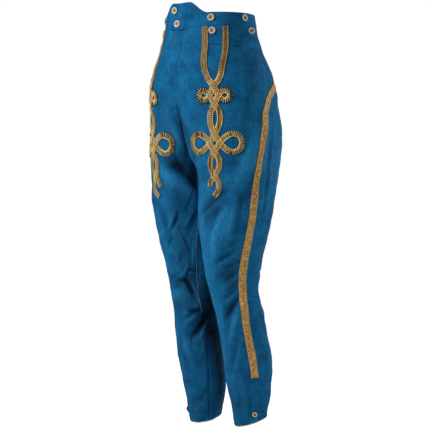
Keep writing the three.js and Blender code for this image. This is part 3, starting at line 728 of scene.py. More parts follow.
def makeWool(name, look):
    material, tree, shader = newMaterial(
        name, Roughness=0.86, Sheen_Weight=0.045, Sheen_Roughness=0.5, Sheen_Tint=hexColour(look["sheen"]),
        Specular_IOR_Level=0.15,
    )
    uv = clothMap(tree)
    weave = groupIn(tree, weaveGroup, {"Vector": uv, "Pitch": look["pitch"], "Slant": 1.0})
    mottle = groupIn(tree, mottleGroup, {"Vector": placeOf(tree), "Patch": look["patch"], "Nap": look["nap"]})
    patches, nap = mottle.outputs["Patches"], mottle.outputs["Nap"]
    relief, tone = fieldOf(tree, "relief"), fieldOf(tree, "tone")
    base = mixOf(tree, scaleOf(tree, patches, 2.2, -0.6, True), look["main"], look["light"])
    # painted shade in the valleys of the relief field, and a painted highlight on its crests
    base = mixOf(tree, shareOf(tree, relief, -look["valleyShadeShare"], True), base, look["deep"])
    base = mixOf(tree, shareOf(tree, relief, look["crestHighlightShare"], True), base, look["crest"])
    # the tone field: painted shade, with some soiling, where positive, and painted light towards the crest
    # colour where negative
    broken = scaleOf(tree, patches, 0.8, 0.5)
    base = mixOf(tree, shareOf(tree, tone, broken, True), base, look["shadeAndSoil"])
    base = mixOf(tree, shareOf(tree, tone, -look["paintedLightShare"], True), base, look["crest"])
    # the nap lies down the leg in short streaks
    brushed = addNode(tree, "ShaderNodeVectorMath", {0: uv, 1: look["streaks"]}, operation="MULTIPLY")
    streaks = addNode(tree, "ShaderNodeTexNoise", {
        "Vector": brushed.outputs[0], "Scale": 1.0, "Detail": 3.0, "Roughness": 0.7,
    })
    grain = scaleOf(tree, nap, 0.5, shareOf(tree, weave.outputs["Thread"], 0.25))
    grain = mathOf(tree, "ADD", grain, scaleOf(tree, streaks.outputs[0], 3.4, -1.7))
    base = mixOf(tree, shareOf(tree, grain, look["darkGrain"], True), base, look["deep"])
    base = mixOf(tree, shareOf(tree, grain, -look["paleGrain"], True), base, look["crest"])
    height = scaleOf(tree, nap, 0.8, weave.outputs["Height"])
    finishSurface(tree, shader, base, height, 0.5, 0.3, scaleOf(tree, nap, 0.2, 0.76))
    return material


laceLook = {
    "main": "d3973f", "dark": "674614", "glint": "f8da92", "across": 470.0, "along": 400.0,
    "selvedge": "dcc083", "foot": "1d2a24", "shadowLineFrom": 0.0091,
}


def metalRough(tree, flecks, plain):
    # the painted glint flecks are smoother
    return scaleOf(tree, flecks.outputs["Bright"], -0.15, plain)


def makeLaceMaterial(look):
    material, tree, shader = newMaterial("gold lace", Metallic=0.25, Specular_IOR_Level=0.5)
    uv = clothMap(tree)
    away = mathOf(tree, "ABSOLUTE", addNode(tree, "ShaderNodeSeparateXYZ", {0: uv}).outputs[0])
    flecks = groupIn(tree, fleckGroup, {"Vector": uv, "Across": look["across"], "Along": look["along"]})
    base = mixOf(tree, shareOf(tree, flecks.outputs["Dark"], 0.6), look["main"], look["dark"])
    base = mixOf(tree, shareOf(tree, flecks.outputs["Bright"], 0.8), base, look["glint"])
    selvedge = scaleOf(tree, away, 1400.0, -9.6, True)
    base = mixOf(tree, shareOf(tree, selvedge, 0.7), base, look["selvedge"])
    # a painted shadow line along both edges of the lace
    foot = mathOf(tree, "GREATER_THAN", away, look["shadowLineFrom"])
    base = mixOf(tree, shareOf(tree, foot, 0.9), base, look["foot"])
    weave = groupIn(tree, weaveGroup, {"Vector": uv, "Pitch": 0.0013, "Slant": 0.6})
    height = mathOf(tree, "ADD", weave.outputs["Height"], flecks.outputs["Height"])
    finishSurface(tree, shader, base, height, 0.8, 0.4, metalRough(tree, flecks, 0.55))
    return material


# colour, share and ramp by height of the braid's darkening towards the waist
waistDarkening = {"colour": "7c5a22", "share": 0.65, "slope": 40.0, "offset": 5.0}


def darkenedTowardsWaist(tree, base):
    # the braid is duller towards the waist
    high = addNode(tree, "ShaderNodeSeparateXYZ", {0: placeOf(tree)}).outputs[2]
    amount = scaleOf(tree, high, waistDarkening["slope"], waistDarkening["offset"], True)
    return mixOf(tree, shareOf(tree, amount, waistDarkening["share"]), base, waistDarkening["colour"])


braidLook = {
    "cord": "ffe8a8", "dark": "8a571a", "glint": "fbeec6", "ground": "a8823e", "gap": "140b03",
    "across": 270.0, "along": 1.15, "foot": "17211c", "shadowLineFrom": 0.0067,
}


def makeBraidMaterial(look):
    # the map runs across in metres and along in thousandths of a pleat
    material, tree, shader = newMaterial("gold braid", Metallic=0.3, Specular_IOR_Level=0.5)
    uv = clothMap(tree)
    parts = addNode(tree, "ShaderNodeSeparateXYZ", {0: uv})
    away = mathOf(tree, "ABSOLUTE", parts.outputs[0])
    flecks = groupIn(tree, fleckGroup, {"Vector": uv, "Across": look["across"], "Along": look["along"]})
    cord = scaleOf(tree, away, 1600.0, -7.6, True)
    # turning paints shade: the ground goes to the dark gap colour where the braid bends
    turning = shareOf(tree, fieldOf(tree, "turning"), 1.3, True)
    base = mixOf(tree, cord, mixOf(tree, turning, look["ground"], look["gap"]), look["cord"])
    base = mixOf(tree, shareOf(tree, flecks.outputs["Dark"], cord), base, look["dark"])
    base = mixOf(tree, shareOf(tree, flecks.outputs["Bright"], cord), base, look["glint"])
    # where the pleats open on the outside of a turn, the shade between them is painted dark, most of all near
    # the waist
    between = scaleOf(tree, parts.outputs[1], -6.0, 1.4, True)
    base = mixOf(tree, shareOf(tree, between, fieldOf(tree, "stretch")), base, look["gap"])
    base = darkenedTowardsWaist(tree, base)
    # a painted shadow line along both edges of the braid
    foot = mathOf(tree, "GREATER_THAN", away, look["shadowLineFrom"])
    base = mixOf(tree, shareOf(tree, foot, 0.9), base, look["foot"])
    finishSurface(tree, shader, base, flecks.outputs["Height"], 0.6, 0.3, metalRough(tree, flecks, 0.5))
    return material


pleatLook = {"main": "ffd478", "dark": "85531a", "glint": "fbeec6", "flecks": 240.0}


def makePleatMaterial(look):
    # the pleats across the braid, in the same uneven gold
    material, tree, shader = newMaterial("braid pleats", Metallic=0.3, Specular_IOR_Level=0.5)
    flecks = groupIn(tree, fleckGroup, {
        "Vector": placeOf(tree), "Across": look["flecks"], "Along": look["flecks"],
    })
    base = mixOf(tree, flecks.outputs["Dark"], look["main"], look["dark"])
    base = mixOf(tree, shareOf(tree, flecks.outputs["Bright"], 0.6), base, look["glint"])
    base = darkenedTowardsWaist(tree, base)
    finishSurface(tree, shader, base, flecks.outputs["Height"], 0.4, 0.3, metalRough(tree, flecks, 0.5))
    return material


def makeThread(name, code, rough=0.6, metal=0.0):
    material, tree, shader = newMaterial(name, Metallic=metal)
    uneven = addNode(tree, "ShaderNodeTexNoise", {"Vector": placeOf(tree), "Scale": 700.0, "Detail": 2.0})
    made = addNode(tree, "ShaderNodeMix", {0: uneven.outputs[0]}, data_type="RGBA")
    colour = hexColour(code)
    made.inputs[6].default_value = tuple(c * 0.6 for c in colour[:3]) + (1.0,)
    made.inputs[7].default_value = colour
    roughness = scaleOf(tree, uneven.outputs[0], 0.2, rough - 0.1)
    finishSurface(tree, shader, made.outputs[2], uneven.outputs[0], 0.4, 0.2, roughness)
    return material


boneLook = {"light": "f6efdc", "main": "d2c3a0", "centre": "9c6c34", "rim": "382a18"}


def makeBone(look):
    # the first value of the map is the distance from the middle, the same on large and small buttons
    material, tree, shader = newMaterial("bone", Specular_IOR_Level=0.5)
    away = addNode(tree, "ShaderNodeSeparateXYZ", {0: clothMap(tree)}).outputs[0]
    grain = addNode(tree, "ShaderNodeTexNoise", {
        "Vector": placeOf(tree), "Scale": 420.0, "Detail": 4.0, "Distortion": 0.6,
    }).outputs[0]
    base = mixOf(tree, grain, look["main"], look["light"])
    centre = scaleOf(tree, away, -2400.0, 12.6, True)
    base = mixOf(tree, shareOf(tree, centre, 0.9), base, look["centre"])
    # a painted shadow ring round the button's outer edge
    rim = scaleOf(tree, away, 3000.0, -23.6, True)
    base = mixOf(tree, shareOf(tree, rim, 0.85), base, look["rim"])
    finishSurface(tree, shader, base, grain, 0.25, 0.2, scaleOf(tree, grain, 0.2, 0.3))
    return material


def makeCotton():
    material, tree, shader = newMaterial("white cotton", Roughness=0.85, Sheen_Weight=0.1)
    uv = clothMap(tree)
    weave = groupIn(tree, weaveGroup, {"Vector": uv, "Pitch": 0.0008, "Slant": 0.0})
    mottle = groupIn(tree, mottleGroup, {"Vector": uv, "Patch": 60.0, "Nap": 900.0})
    base = mixOf(tree, mottle.outputs["Patches"], "d9d2c0", "f1ede2")
    finishSurface(tree, shader, base, weave.outputs["Height"], 0.4, 0.2)
    return material


woolCloth = makeWool("blue wool", wool)
goldLace = makeLaceMaterial(laceLook)
goldBraid = makeBraidMaterial(braidLook)
goldPleats = makePleatMaterial(pleatLook)
boneFinish = makeBone(boneLook)
whiteCotton = makeCotton()
blueThread = makeThread("blue thread", "2a7fb0")
goldThread = makeThread("gold thread", "d2ad60", 0.5, 0.3)
darkThread = makeThread("dark thread", "3b2c19")
navyThread = makeThread("navy thread", "082440")
inkThread = makeThread("ink thread", "04101c")
paleThread = makeThread("pale thread", "a9cdd2")
print("materials made")

sewn = {"stitchLong": 2.6, "stitchThick": 0.55, "stitchPitch": 3.6, "flatness": 0.8}


def pointsPiece(name, points, alongWay, acrossWay):
    made = bpy.data.meshes.new(name)
    made.from_pydata((np.asarray(points) * mm).tolist(), [], [])
    for label, values in (("alongWay", alongWay), ("acrossWay", acrossWay)):
        layer = made.attributes.new(label, "FLOAT_VECTOR", "POINT")
        layer.data.foreach_set("vector", np.asarray(values, np.float32).ravel())
    return addObject(name, made)


def makeSewnTree(name, barrel):
    # one thread, or one pleat of a braid, at each point of a mesh
    tree = bpy.data.node_groups.new(name, "GeometryNodeTree")
    tree.interface.new_socket("Geometry", in_out="INPUT", socket_type="NodeSocketGeometry")
    sockets = {}
    for label, value in (("Length", 0.0026), ("Width", 0.0006), ("Height", 0.0006)):
        socket = tree.interface.new_socket(label, in_out="INPUT", socket_type="NodeSocketFloat")
        socket.default_value = value
        sockets[label] = socket.identifier
    socket = tree.interface.new_socket("Finish", in_out="INPUT", socket_type="NodeSocketMaterial")
    sockets["Finish"] = socket.identifier
    tree.interface.new_socket("Geometry", in_out="OUTPUT", socket_type="NodeSocketGeometry")
    given, result = tree.nodes.new("NodeGroupInput"), tree.nodes.new("NodeGroupOutput")
    longWay, crossWay = (
        addNode(tree, "GeometryNodeInputNamedAttribute", {"Name": label}, data_type="FLOAT_VECTOR").outputs[0]
        for label in ("alongWay", "acrossWay")
    )
    turn = addNode(tree, "FunctionNodeAxesToRotation", {
        "Primary Axis": longWay, "Secondary Axis": crossWay,
    }, primary_axis="Z", secondary_axis="X")
    size = addNode(tree, "ShaderNodeCombineXYZ", {
        "X": given.outputs["Width"], "Y": given.outputs["Height"], "Z": given.outputs["Length"],
    })
    if barrel:
        shape = addNode(tree, "GeometryNodeMeshCylinder", {"Vertices": 10, "Radius": 0.5, "Depth": 1.0})
    else:
        shape = addNode(tree, "GeometryNodeMeshUVSphere", {"Segments": 6, "Rings": 4, "Radius": 0.5})
    spread = addNode(tree, "GeometryNodeInstanceOnPoints", {
        "Points": given.outputs[0], "Instance": shape.outputs[0],
        "Rotation": turn.outputs[0], "Scale": size.outputs[0],
    })
    real = addNode(tree, "GeometryNodeRealizeInstances", {0: spread.outputs[0]})
    soft = addNode(tree, "GeometryNodeSetShadeSmooth", {0: real.outputs[0]})
    finish = addNode(tree, "GeometryNodeSetMaterial", {
        0: soft.outputs[0], "Material": given.outputs["Finish"],
    })
    tree.links.new(finish.outputs[0], result.inputs[0])
    return tree, sockets


stitchTree = makeSewnTree("stitches", False)
pleatTree = makeSewnTree("ribs", True)


def sewAlong(name, treeAndSockets, points, alongWay, acrossWay, size, material, slotName):
    # size is the length, width and height of each
    tree, sockets = treeAndSockets
    guide = pointsPiece(name + "_guide", points, alongWay, acrossWay)
    modifier = guide.modifiers.new("sewn", "NODES")
    modifier.node_group = tree
    for label, value in zip(("Length", "Width", "Height"), size):
        modifier[sockets[label]] = value * mm
    modifier[sockets["Finish"]] = material
    bpy.context.view_layer.update()
    deps = bpy.context.evaluated_depsgraph_get()
    made = bpy.data.meshes.new_from_object(guide.evaluated_get(deps))
    made.name = name
    for layer in list(made.attributes):
        if layer.name in ("alongWay", "acrossWay"):
            made.attributes.remove(layer)
    piece = addObject(name, made)
    bpy.data.objects.remove(guide)
    return settle(piece, material, slotName)


def evenAlong(points, pitch):
    # places at an even pitch along a line of points: fractional indices
    far = lengthsAlong(points)
    count = max(2, int(far[-1] / pitch))
    return np.interp((np.arange(count) + 0.5) / count * far[-1], far, np.arange(len(points)))


def atIndices(values, places):
    low = np.clip(places.astype(int), 0, len(values) - 2)
    t = (places - low)[:, None]
    return values[low] * (1 - t) + values[low + 1] * t


def stitchLine(points, normals, lift=0.25, pitch=sewn["stitchPitch"]):
    # points, directions and side directions for stitches along a line on the cloth
    places = evenAlong(points, pitch)
    here, normal = atIndices(points, places), atIndices(normals, places)
    after = atIndices(points, np.minimum(places + 0.3, len(points) - 1))
    before = atIndices(points, np.maximum(places - 0.3, 0))
    ahead = unit(after - before)
    return here + normal * lift, ahead, np.cross(ahead, normal)


def sewLines(name, lines, material, slotName, long=sewn["stitchLong"], thick=sewn["stitchThick"]):
    here, ahead, sideways = (np.concatenate([line[k] for line in lines]) for k in range(3))
    size = (long, thick, thick * sewn["flatness"])
    return sewAlong(name, stitchTree, here, ahead, sideways, size, material, slotName)


panel = {
    "rows": 376, "frontColumns": 96, "backColumns": 106, "seamSink": 1.1, "seamWide": 1.8,
    "pucker": 0.22, "puckerWide": 6, "sideGap": 1.3, "evenRows": 15, "evenColumns": 12,
}
seamEdges = np.array([0.0, 0.7, 1.5, 2.6, 4.2])  # columns close to a seam, in mm from it


def panelAngles(start, end, perDegree, columns):
    first = start + seamEdges / perDegree
    last = end - seamEdges[::-1] / perDegree
    inner = np.linspace(first[-1], last[0], columns - 2 * len(seamEdges) + 2)[1:-1]
    return np.concatenate([first, inner, last])


def onItsSide(side, points):
    # no point crosses the middle plane
    points[..., 0] = side * np.maximum(side * points[..., 0], cut["seamGap"] / 2)
    return points


def legPanel(side, half):
    z = cut["hemZ"] * np.linspace(0, 1, panel["rows"])
    s = sectionAt(z)
    gap = cut["seamGap"] / 2 / (s["outer"] * rad)
    below = z < cut["crotchZ"]
    if half == "front":
        start, end = frontEdge(z) + gap * below, s["outseam"] - gap * panel["sideGap"]
    else:
        start, end = s["outseam"] + gap * panel["sideGap"], backEdge(z) - gap * below
    degree = meanDegree(s)
    a = np.stack([panelAngles(*row, panel[half + "Columns"]) for row in zip(start, end, degree)])
    z, start, end, degree = np.repeat(z[:, None], a.shape[1], 1), start[:, None], end[:, None], degree[:, None]
    face, normal = onCloth(side, a, z)
    # the seams pull the cloth in a little, and pucker it
    fromEdge = np.minimum(a - start, end - a) * degree
    sink = -panel["seamSink"] * np.exp(-((fromEdge / panel["seamWide"]) ** 2))
    pucker = panel["pucker"] * np.sin(z / 1.9 + 2.2 * np.sin(z / 31)) * np.exp(-fromEdge / panel["puckerWide"])
    face = onItsSide(side, face + normal * (sink + pucker)[..., None])
    back = onItsSide(side, face - normal * cut["cloth"])
    lift = foldHeight(side, a, z, sectionAt(z)) + sink + pucker
    # relief, the folds less their blur, carries painted shade into valleys and painted highlights onto crests;
    # tone carries painted shade and light, with some soiling
    fields = {
        "relief": lift - softened(lift, panel["evenRows"], panel["evenColumns"]),
        "tone": shadeLightAndSoilAt(side, a, z, degree),
    }
    piece = shell(half + "_cloth_" + sideName(side), face, back, np.stack([a * degree, z], -1), fields=fields)
    return settle(piece, woolCloth, "blue_cloth", half + "_panel_" + sideName(side))


for word, side in sides.items():
    for half in ("front", "back"):
        legPanel(side, half)
print("leg panels made")

band = {
    "lapLeft": -28, "lapRight": -12, "corner": 7, "low": 0.54, "step": 1.6, "rows": 16,
    "frontTo": 65, "restFrom": 34.5, "restStep": 0.8, "lapFrom": 14, "lapBlend": 16,
    "seams": np.array([0.09, 0.91]), "seamWide": 0.04, "seamSink": 0.25, "crown": 0.35,
}


def bandTop(x, a):
    peak = 1 - smoothStep((np.abs(x) - cut["peakHalf"]) / (cut["peakFoot"] - cut["peakHalf"]))
    rest = cut["sideRise"] + (cut["backRise"] - cut["sideRise"]) * smoothStep((a - 60) / 100)
    return np.where(a < 90, rest + (cut["frontRise"] - rest) * peak, rest)


def bandGrid(side, out, heights):
    # rows of points up the waistband; heights are fractions from its lower to its upper edge
    lap, corner, low = band["lapLeft" if side > 0 else "lapRight"], band["corner"], band["low"]
    upper = side > 0  # the left end lies on the right one and has a round corner
    rounded = lap + corner * (1 - np.cos(np.linspace(0, 1, 8) * np.pi / 2))
    xs = np.concatenate([rounded, np.arange(lap + corner + 1.5, band["frontTo"], band["step"])])
    angles = np.append(np.arange(band["restFrom"], 180, band["restStep"]), 180)
    clip = np.clip((corner - (xs - lap)) / corner, 0, 1) * upper
    topFront = bandTop(xs, np.zeros(len(xs))) - corner * (1 - np.sqrt(1 - clip ** 2))
    topRest = bandTop(sectionAt(np.array([30.0]))["outer"] * np.sin(angles * rad), angles)
    zFront, zRest = (low + (top - low)[None, :] * heights[:, None] for top in (topFront, topRest))
    onLap = 1 - smoothStep((xs - band["lapFrom"]) / band["lapBlend"])
    raised = (cut["bandThick"] + cut["seamGap"]) * onLap * upper
    out = np.broadcast_to(np.asarray(out, float), heights.shape)[:, None]
    front, frontNormal = frontPoint(side * np.broadcast_to(xs, zFront.shape), zFront, out + raised)
    rest, restNormal = onCloth(side, np.broadcast_to(angles, zRest.shape), zRest, out + 0 * zRest)
    rest[:, -1, 0] = side * cut["seamGap"] / 2
    return np.concatenate([front, rest], 1), np.concatenate([frontNormal, restNormal], 1)


def makeBand(side):
    # padded a little between its seams, drawn in at the stitching
    v = np.linspace(0, 1, band["rows"])
    crown = band["crown"] * np.sin(np.pi * v) ** 0.5
    for seam in band["seams"]:
        crown = crown - band["seamSink"] * np.exp(-(((v - seam) / band["seamWide"]) ** 2))
    outer = bandGrid(side, cut["bandProud"] + crown, v)[0]
    inner = bandGrid(side, cut["bandProud"] - cut["bandThick"], v)[0]
    z = outer[..., 2]
    across = np.where(np.abs(outer[..., 0]) > 1e-3, side * outer[..., 0], 1e-3)
    angle = np.degrees(np.arctan2(across, -outer[..., 1] * 1.25))
    s = sectionAt(z)
    # relief carries painted shade into valleys and painted highlights onto crests; tone carries painted shade
    # and light, with some soiling
    fields = {
        "relief": crown[:, None] - 0.15 + foldHeight(side, angle, z, s) * 0.4,
        "tone": shadeLightAndSoilAt(side, angle, z, meanDegree(s)),
    }
    uv = mapOf(lengthsAlong(outer[0]), z)
    piece = shell("waistband_cloth_" + sideName(side), outer, inner, uv, roll=0.35, fields=fields)
    return settle(piece, woolCloth, "blue_cloth", "waistband_" + sideName(side))


bands = {word: makeBand(side) for word, side in sides.items()}
bandLines = []
for side in sides.values():
    lines, normals = bandGrid(side, cut["bandProud"], band["seams"])
    bandLines += [stitchLine(lines[k], normals[k], 0.2) for k in range(2)]
sewLines("waistband_stitches", bandLines, blueThread, "blue_cloth")
print("waistband made")

flap = {
    "flyEdge": 13, "flyFootEdge": 3, "flyWidth": 26, "flyEnd": -186, "thick": 1.5, "ventTop": -823,
    "ventFrom": -12, "ventWidth": 18,
}


def laidShell(name, place, rows, columns, thick, crown, lift):
    # place(v, u) gives points and normals; crown(v, u) the height of its face above its edge
    v, u = np.meshgrid(np.linspace(0, 1, rows), np.linspace(0, 1, columns), indexing="ij")
    points, normals = place(v, u)
    high = thick * crown(v, u)
    outer = points + normals * (lift + high)[..., None]
    inner = points + normals * lift
    row = np.linalg.norm(np.diff(points, axis=1), axis=-1).mean(0)
    column = np.linalg.norm(np.diff(points, axis=0), axis=-1).mean(1)
    uAt, vAt = (np.concatenate([[0], np.cumsum(steps)]) for steps in (row, column))
    uv = mapOf(uAt - uAt[-1] / 2, vAt[:, None])
    return shell(name, outer, inner, uv, roll=0.3, fields={"relief": high * 0}), points, normals


def flyPlace(v, u):
    # its foot is rounded
    z = -cut["seamGap"] + (flap["flyEnd"] + cut["seamGap"]) * v
    roundness = np.sqrt(np.clip(1 - np.clip((v - 0.8) / 0.2, 0, None) ** 2, 0, None))
    edge = flap["flyEdge"] + (flap["flyFootEdge"] - flap["flyEdge"]) * v
    return frontPoint(flap["flyWidth"] * u * (0.34 + 0.66 * roundness) - edge, z, 0.0)


def flyCrown(v, u):
    return (0.25 + 0.75 * smoothStep((1 - u) / 0.55)) * (0.8 + 0.2 * smoothStep(u / 0.1))


flyPiece = laidShell("fly_cloth", flyPlace, 90, 18, flap["thick"], flyCrown, 0.15)[0]
settle(flyPiece, woolCloth, "blue_cloth", "fly")
flyLines = []
for u, out, lift in ((0.16, flap["thick"], 0.1), (0.93, 0.5, 0.2)):
    points, normals = flyPlace(np.linspace(0.02, 0.97, 80), np.full(80, u))
    flyLines.append(stitchLine(points + normals * out, normals, lift))
sewLines("fly_stitches", flyLines, blueThread, "blue_cloth")
# along the top of its edge, a dark line of navy stitches is painted shade in the slit, and a pale line runs
# beside it
slitHeights = np.linspace(-7, -50, 60)
for name, off, thread, long, thick in (
    ("fly_slit", 0.0, navyThread, 2.6, 1.5), ("fly_pale_line", 1.9, goldThread, 1.9, 0.9),
):
    points, normals = frontPoint(off - flap["flyEdge"] - 0.05 * slitHeights, slitHeights, flap["thick"] + 0.3)
    sewLines(name, [stitchLine(points, normals, 0.1, 2.0)], thread, "blue_cloth", long, thick)

knotCut = {
    "width": 14.5, "step": 1.4, "lift": 2.1, "clear": 0.35, "tip": 9, "longPoints": 40, "shortPoints": 38,
    "pleatPitch": 4.4, "pleatSize": (12.6, 1.9, 2.0), "pleatOut": 0.5,
}
knotLine = table(
    ["z", "left", "right"],
    [[0, 92, 92], [-70, 104, 101], [-146, 117, 101], [-275, 118, 99], [-345, 114, 96], [-405, 107, 90]],
)

# u is the distance from the knot's middle line and v the distance below the waist seam.
# a and b say how far strand a and strand b are lifted there, 1 where it passes over.
strandPath = table(
    ["u", "v", "a", "b"],
    [
        [-24, 1.5, 0, 0], [-24, 36, 0, 0], [-24, 68, 0, 0], [-21, 98, 0, 0], [-14, 124, 0, 0],
        [0, 143, 1, 0], [9, 162, 0, 0], [16, 172, 0, 0], [26, 175.5, 0, 0], [34, 172, 0, 0],
        [37.5, 164, 0, 0], [34, 156, 0, 0], [26, 152.5, 0, 0], [16, 156.5, 0, 0], [9, 167, 1, 1],
        [0, 184, 0, 1], [-9, 199, 0, 0], [-12, 217, 0, 0], [-9, 235, 0, 0], [0, 253, 1, 0],
        [12, 273, 0, 0], [19, 282, 0, 0], [29, 290, 0, 0], [43, 295.5, 0, 0], [58, 290, 0, 0],
        [65, 274, 0, 0], [58, 258, 0, 0], [43, 252.5, 0, 0], [29, 258, 0, 0], [19, 266, 0, 0],
        [12, 276, 1, 1], [0, 294, 0, 1], [-9, 307, 0, 0], [-12.5, 323, 0, 0], [-9, 337, 0, 0],
        [0, 350, 1, 0], [10, 362, 0, 0], [12, 375, 0, 0], [7, 388, 0, 0], [-2, 397, 0, 0],
    ],
)


def roundCurve(points, samples):
    # centripetal curve through the points
    ends = np.concatenate([[2 * points[0] - points[1]], points, [2 * points[-1] - points[-2]]])
    t = np.linspace(0, 1, samples, endpoint=False)[:, None]
    made = []
    for k in range(len(points) - 1):
        p = ends[k:k + 4]
        gaps = np.maximum(np.linalg.norm(np.diff(p, axis=0), axis=1) ** 0.5, 1e-4)
        m1 = (p[1] - p[0]) / gaps[0] - (p[2] - p[0]) / (gaps[0] + gaps[1]) + (p[2] - p[1]) / gaps[1]
        m2 = (p[2] - p[1]) / gaps[1] - (p[3] - p[1]) / (gaps[1] + gaps[2]) + (p[3] - p[2]) / gaps[2]
        m1, m2 = m1 * gaps[1], m2 * gaps[1]
        squared = -3 * p[1] + 3 * p[2] - 2 * m1 - m2
        cubed = 2 * p[1] - 2 * p[2] + m1 + m2
        made.append(p[1] + m1 * t + squared * t ** 2 + cubed * t ** 3)
    made.append(points[-1:])
    return np.concatenate(made)


def knotPoint(side, u, v):
    z = -np.asarray(v, float)
    s = sectionAt(z)
    line = alongTable(knotLine, "z", z, sideName(side))
    a = np.arcsin(np.clip((line - s["cx"]) / s["outer"], -1, 1))
    perRadian = np.hypot(s["outer"] * np.cos(a), s["front"] * np.sin(a))
    return onCloth(side, (a + u / perRadian) / rad, z)


def mirrored(rows):
    # rows run from one edge of a braid to its middle; this carries them on to the other edge
    shares, heights = np.array(rows, float).T
    return np.concatenate([shares, -shares[-2::-1]]), np.concatenate([heights, heights[-2::-1]])


# across a braid or lace: distance from its middle as a share of the half width, and height in mm
braidShares, braidHeights = mirrored([
    (-1.06, 0.1), (-0.99, 0.35), (-0.96, 1.2), (-0.91, 1.75), (-0.83, 2.0), (-0.75, 1.75), (-0.69, 1.1),
    (-0.64, 0.6), (-0.4, 0.6), (-0.2, 0.65), (0.0, 0.7),
])
laceShares, laceHeights = mirrored([
    (-1.0, 0.2), (-0.97, 0.95), (-0.88, 1.3), (-0.8, 1.1), (-0.72, 0.85), (-0.5, 0.95), (-0.25, 1.0),
    (0.0, 1.0),
])


def strandLine(mirror, upTo):
    over = strandPath["a" if mirror > 0 else "b"]
    fine = roundCurve(np.stack([mirror * strandPath["u"], strandPath["v"], over], -1)[:upTo], 24)
    far = lengthsAlong(fine[:, :2])
    places = np.linspace(0, 1, int(far[-1] / knotCut["step"])) * far[-1]
    return np.stack([np.interp(places, far, fine[:, k]) for k in range(3)], -1), far[-1]


def braidStrand(side, mirror, upTo, name):
    line, long = strandLine(mirror, upTo)
    lift = knotCut["clear"] + smoothStep(line[:, 2])[:, None] * knotCut["lift"]
    ahead = unit(np.gradient(line[:, :2], axis=0))
    # its lower end is folded under to a point
    toEnd = np.linspace(long, 0, len(line))
    narrow = (0.3 + 0.7 * np.sqrt(np.clip(toEnd / knotCut["tip"], 0, 1)))[:, None]
    off = braidShares * knotCut["width"] / 2 * narrow
    u = line[:, None, 0] - ahead[:, None, 1] * off
    v = line[:, None, 1] + ahead[:, None, 0] * off
    points, normals = knotPoint(side, u, v)
    outer = points + normals * (lift + braidHeights)[..., None]
    inner = points + normals * (lift + 0 * braidHeights)[..., None]
    pleats = int(long / knotCut["pleatPitch"])
    uv = mapOf(braidShares * knotCut["width"] / 2, np.linspace(0, pleats, len(line))[:, None])
    # on the outside of a turn the pleats open and the gaps between them reach the edge; stretch and turning
    # carry painted shade into those gaps
    middle = len(braidShares) // 2
    stepLong = np.linalg.norm(np.gradient(outer, axis=0), axis=2)
    stretch = np.clip(stepLong / stepLong[:, middle][:, None] - 1.05, 0, 0.2) / 0.2
    turning = softened(np.repeat(stretch.max(1)[:, None], len(braidShares), 1), 3, 1)
    piece = shell(name, outer, inner, uv, roll=0.1, fields={"stretch": stretch, "turning": turning})
    settle(piece, goldBraid, "gold_lace", "thigh_knot_" + sideName(side))
    places = (np.arange(pleats) + 0.5) / pleats * (len(line) - 1)
    # each pleat lies across the braid, between the inner edges of its two cords
    normalAt = atIndices(normals[:, middle], places)
    crossing = unit(atIndices(outer[:, -8], places) - atIndices(outer[:, 7], places))
    here = atIndices(outer[:, middle], places) + normalAt * knotCut["pleatOut"]
    return piece, (here, crossing, np.cross(crossing, normalAt))


def makeKnot(side):
    word = sideName(side)
    strands = [
        braidStrand(side, 1, knotCut["longPoints"], "thigh_braid_" + word),
        braidStrand(side, -1, knotCut["shortPoints"], "thigh_braid_short_" + word),
    ]
    pleats = (np.concatenate([strand[1][k] for strand in strands]) for k in range(3))
    sewAlong("braid_ribs_" + word, pleatTree, *pleats, knotCut["pleatSize"], goldPleats, "gold_lace")
    return [strand[0] for strand in strands]


knots = {word: makeKnot(side) for word, side in sides.items()}
print("thigh knots made")

lace = {"width": 20, "end": -820, "clear": 0.3, "step": 2.4, "stitchColumns": (4, 10)}


def seamDegree(s):
    # the length of one degree round the leg at its side seam
    turn = s["outseam"] * rad
    return np.hypot(s["outer"] * np.cos(turn), s["back"] * np.sin(turn)) * rad


def leanAt(z):
    # how far the side seam runs back for each step up
    step = 2
    turned = sectionAt(z + step)["outseam"] - sectionAt(z - step)["outseam"]
    return turned * seamDegree(sectionAt(z)) / (2 * step)


def lacePlace(side, z, off):
    s = sectionAt(z)
    slope = leanAt(z) * smoothStep(-z / 40)
    away = off / np.hypot(1, slope)
    return onCloth(side, s["outseam"] + away / seamDegree(s), z - away * slope)


def makeLace(side):
    word = sideName(side)
    z = np.linspace(-1, lace["end"], 900)
    far = lengthsAlong(clothAt(side, sectionAt(z)["outseam"], z))
    even = np.interp(np.linspace(0, far[-1], int(far[-1] / lace["step"])), far, z)
    off = laceShares * lace["width"] / 2
    points, normals = lacePlace(side, even[:, None] + 0 * off, off[None, :] + 0 * even[:, None])
    outer = points + normals * (lace["clear"] + laceHeights)[..., None]
    inner = points + normals * lace["clear"]
    uv = mapOf(off, np.linspace(0, far[-1], len(even))[:, None])
    piece = shell("side_lace_" + word + "_woven", outer, inner, uv, roll=0.1)
    settle(piece, goldLace, "gold_lace", "side_lace_" + word)
    lines = [stitchLine(outer[:, k], normals[:, k], 0.05) for k in lace["stitchColumns"]]
    sewLines("lace_stitches_" + word, lines, goldThread, "gold_lace", 2.2, 0.45)
    return piece


laces = {word: makeLace(side) for word, side in sides.items()}
print("side lace made")

welt = {"half": 15.5, "top": 39, "deep": 5, "thick": 1.3}


def weltPlace(v, u):
    return knotPoint(1, -welt["half"] + 2 * welt["half"] * u, welt["top"] + welt["deep"] * v)


def weltCrown(v, u):
    return 0.35 + 0.65 * np.sin(np.pi * v) ** 0.6


weltPiece = laidShell("pocket_welt_cloth", weltPlace, 8, 30, welt["thick"], weltCrown, 0.3)[0]
settle(weltPiece, woolCloth, "blue_cloth", "pocket_welt")
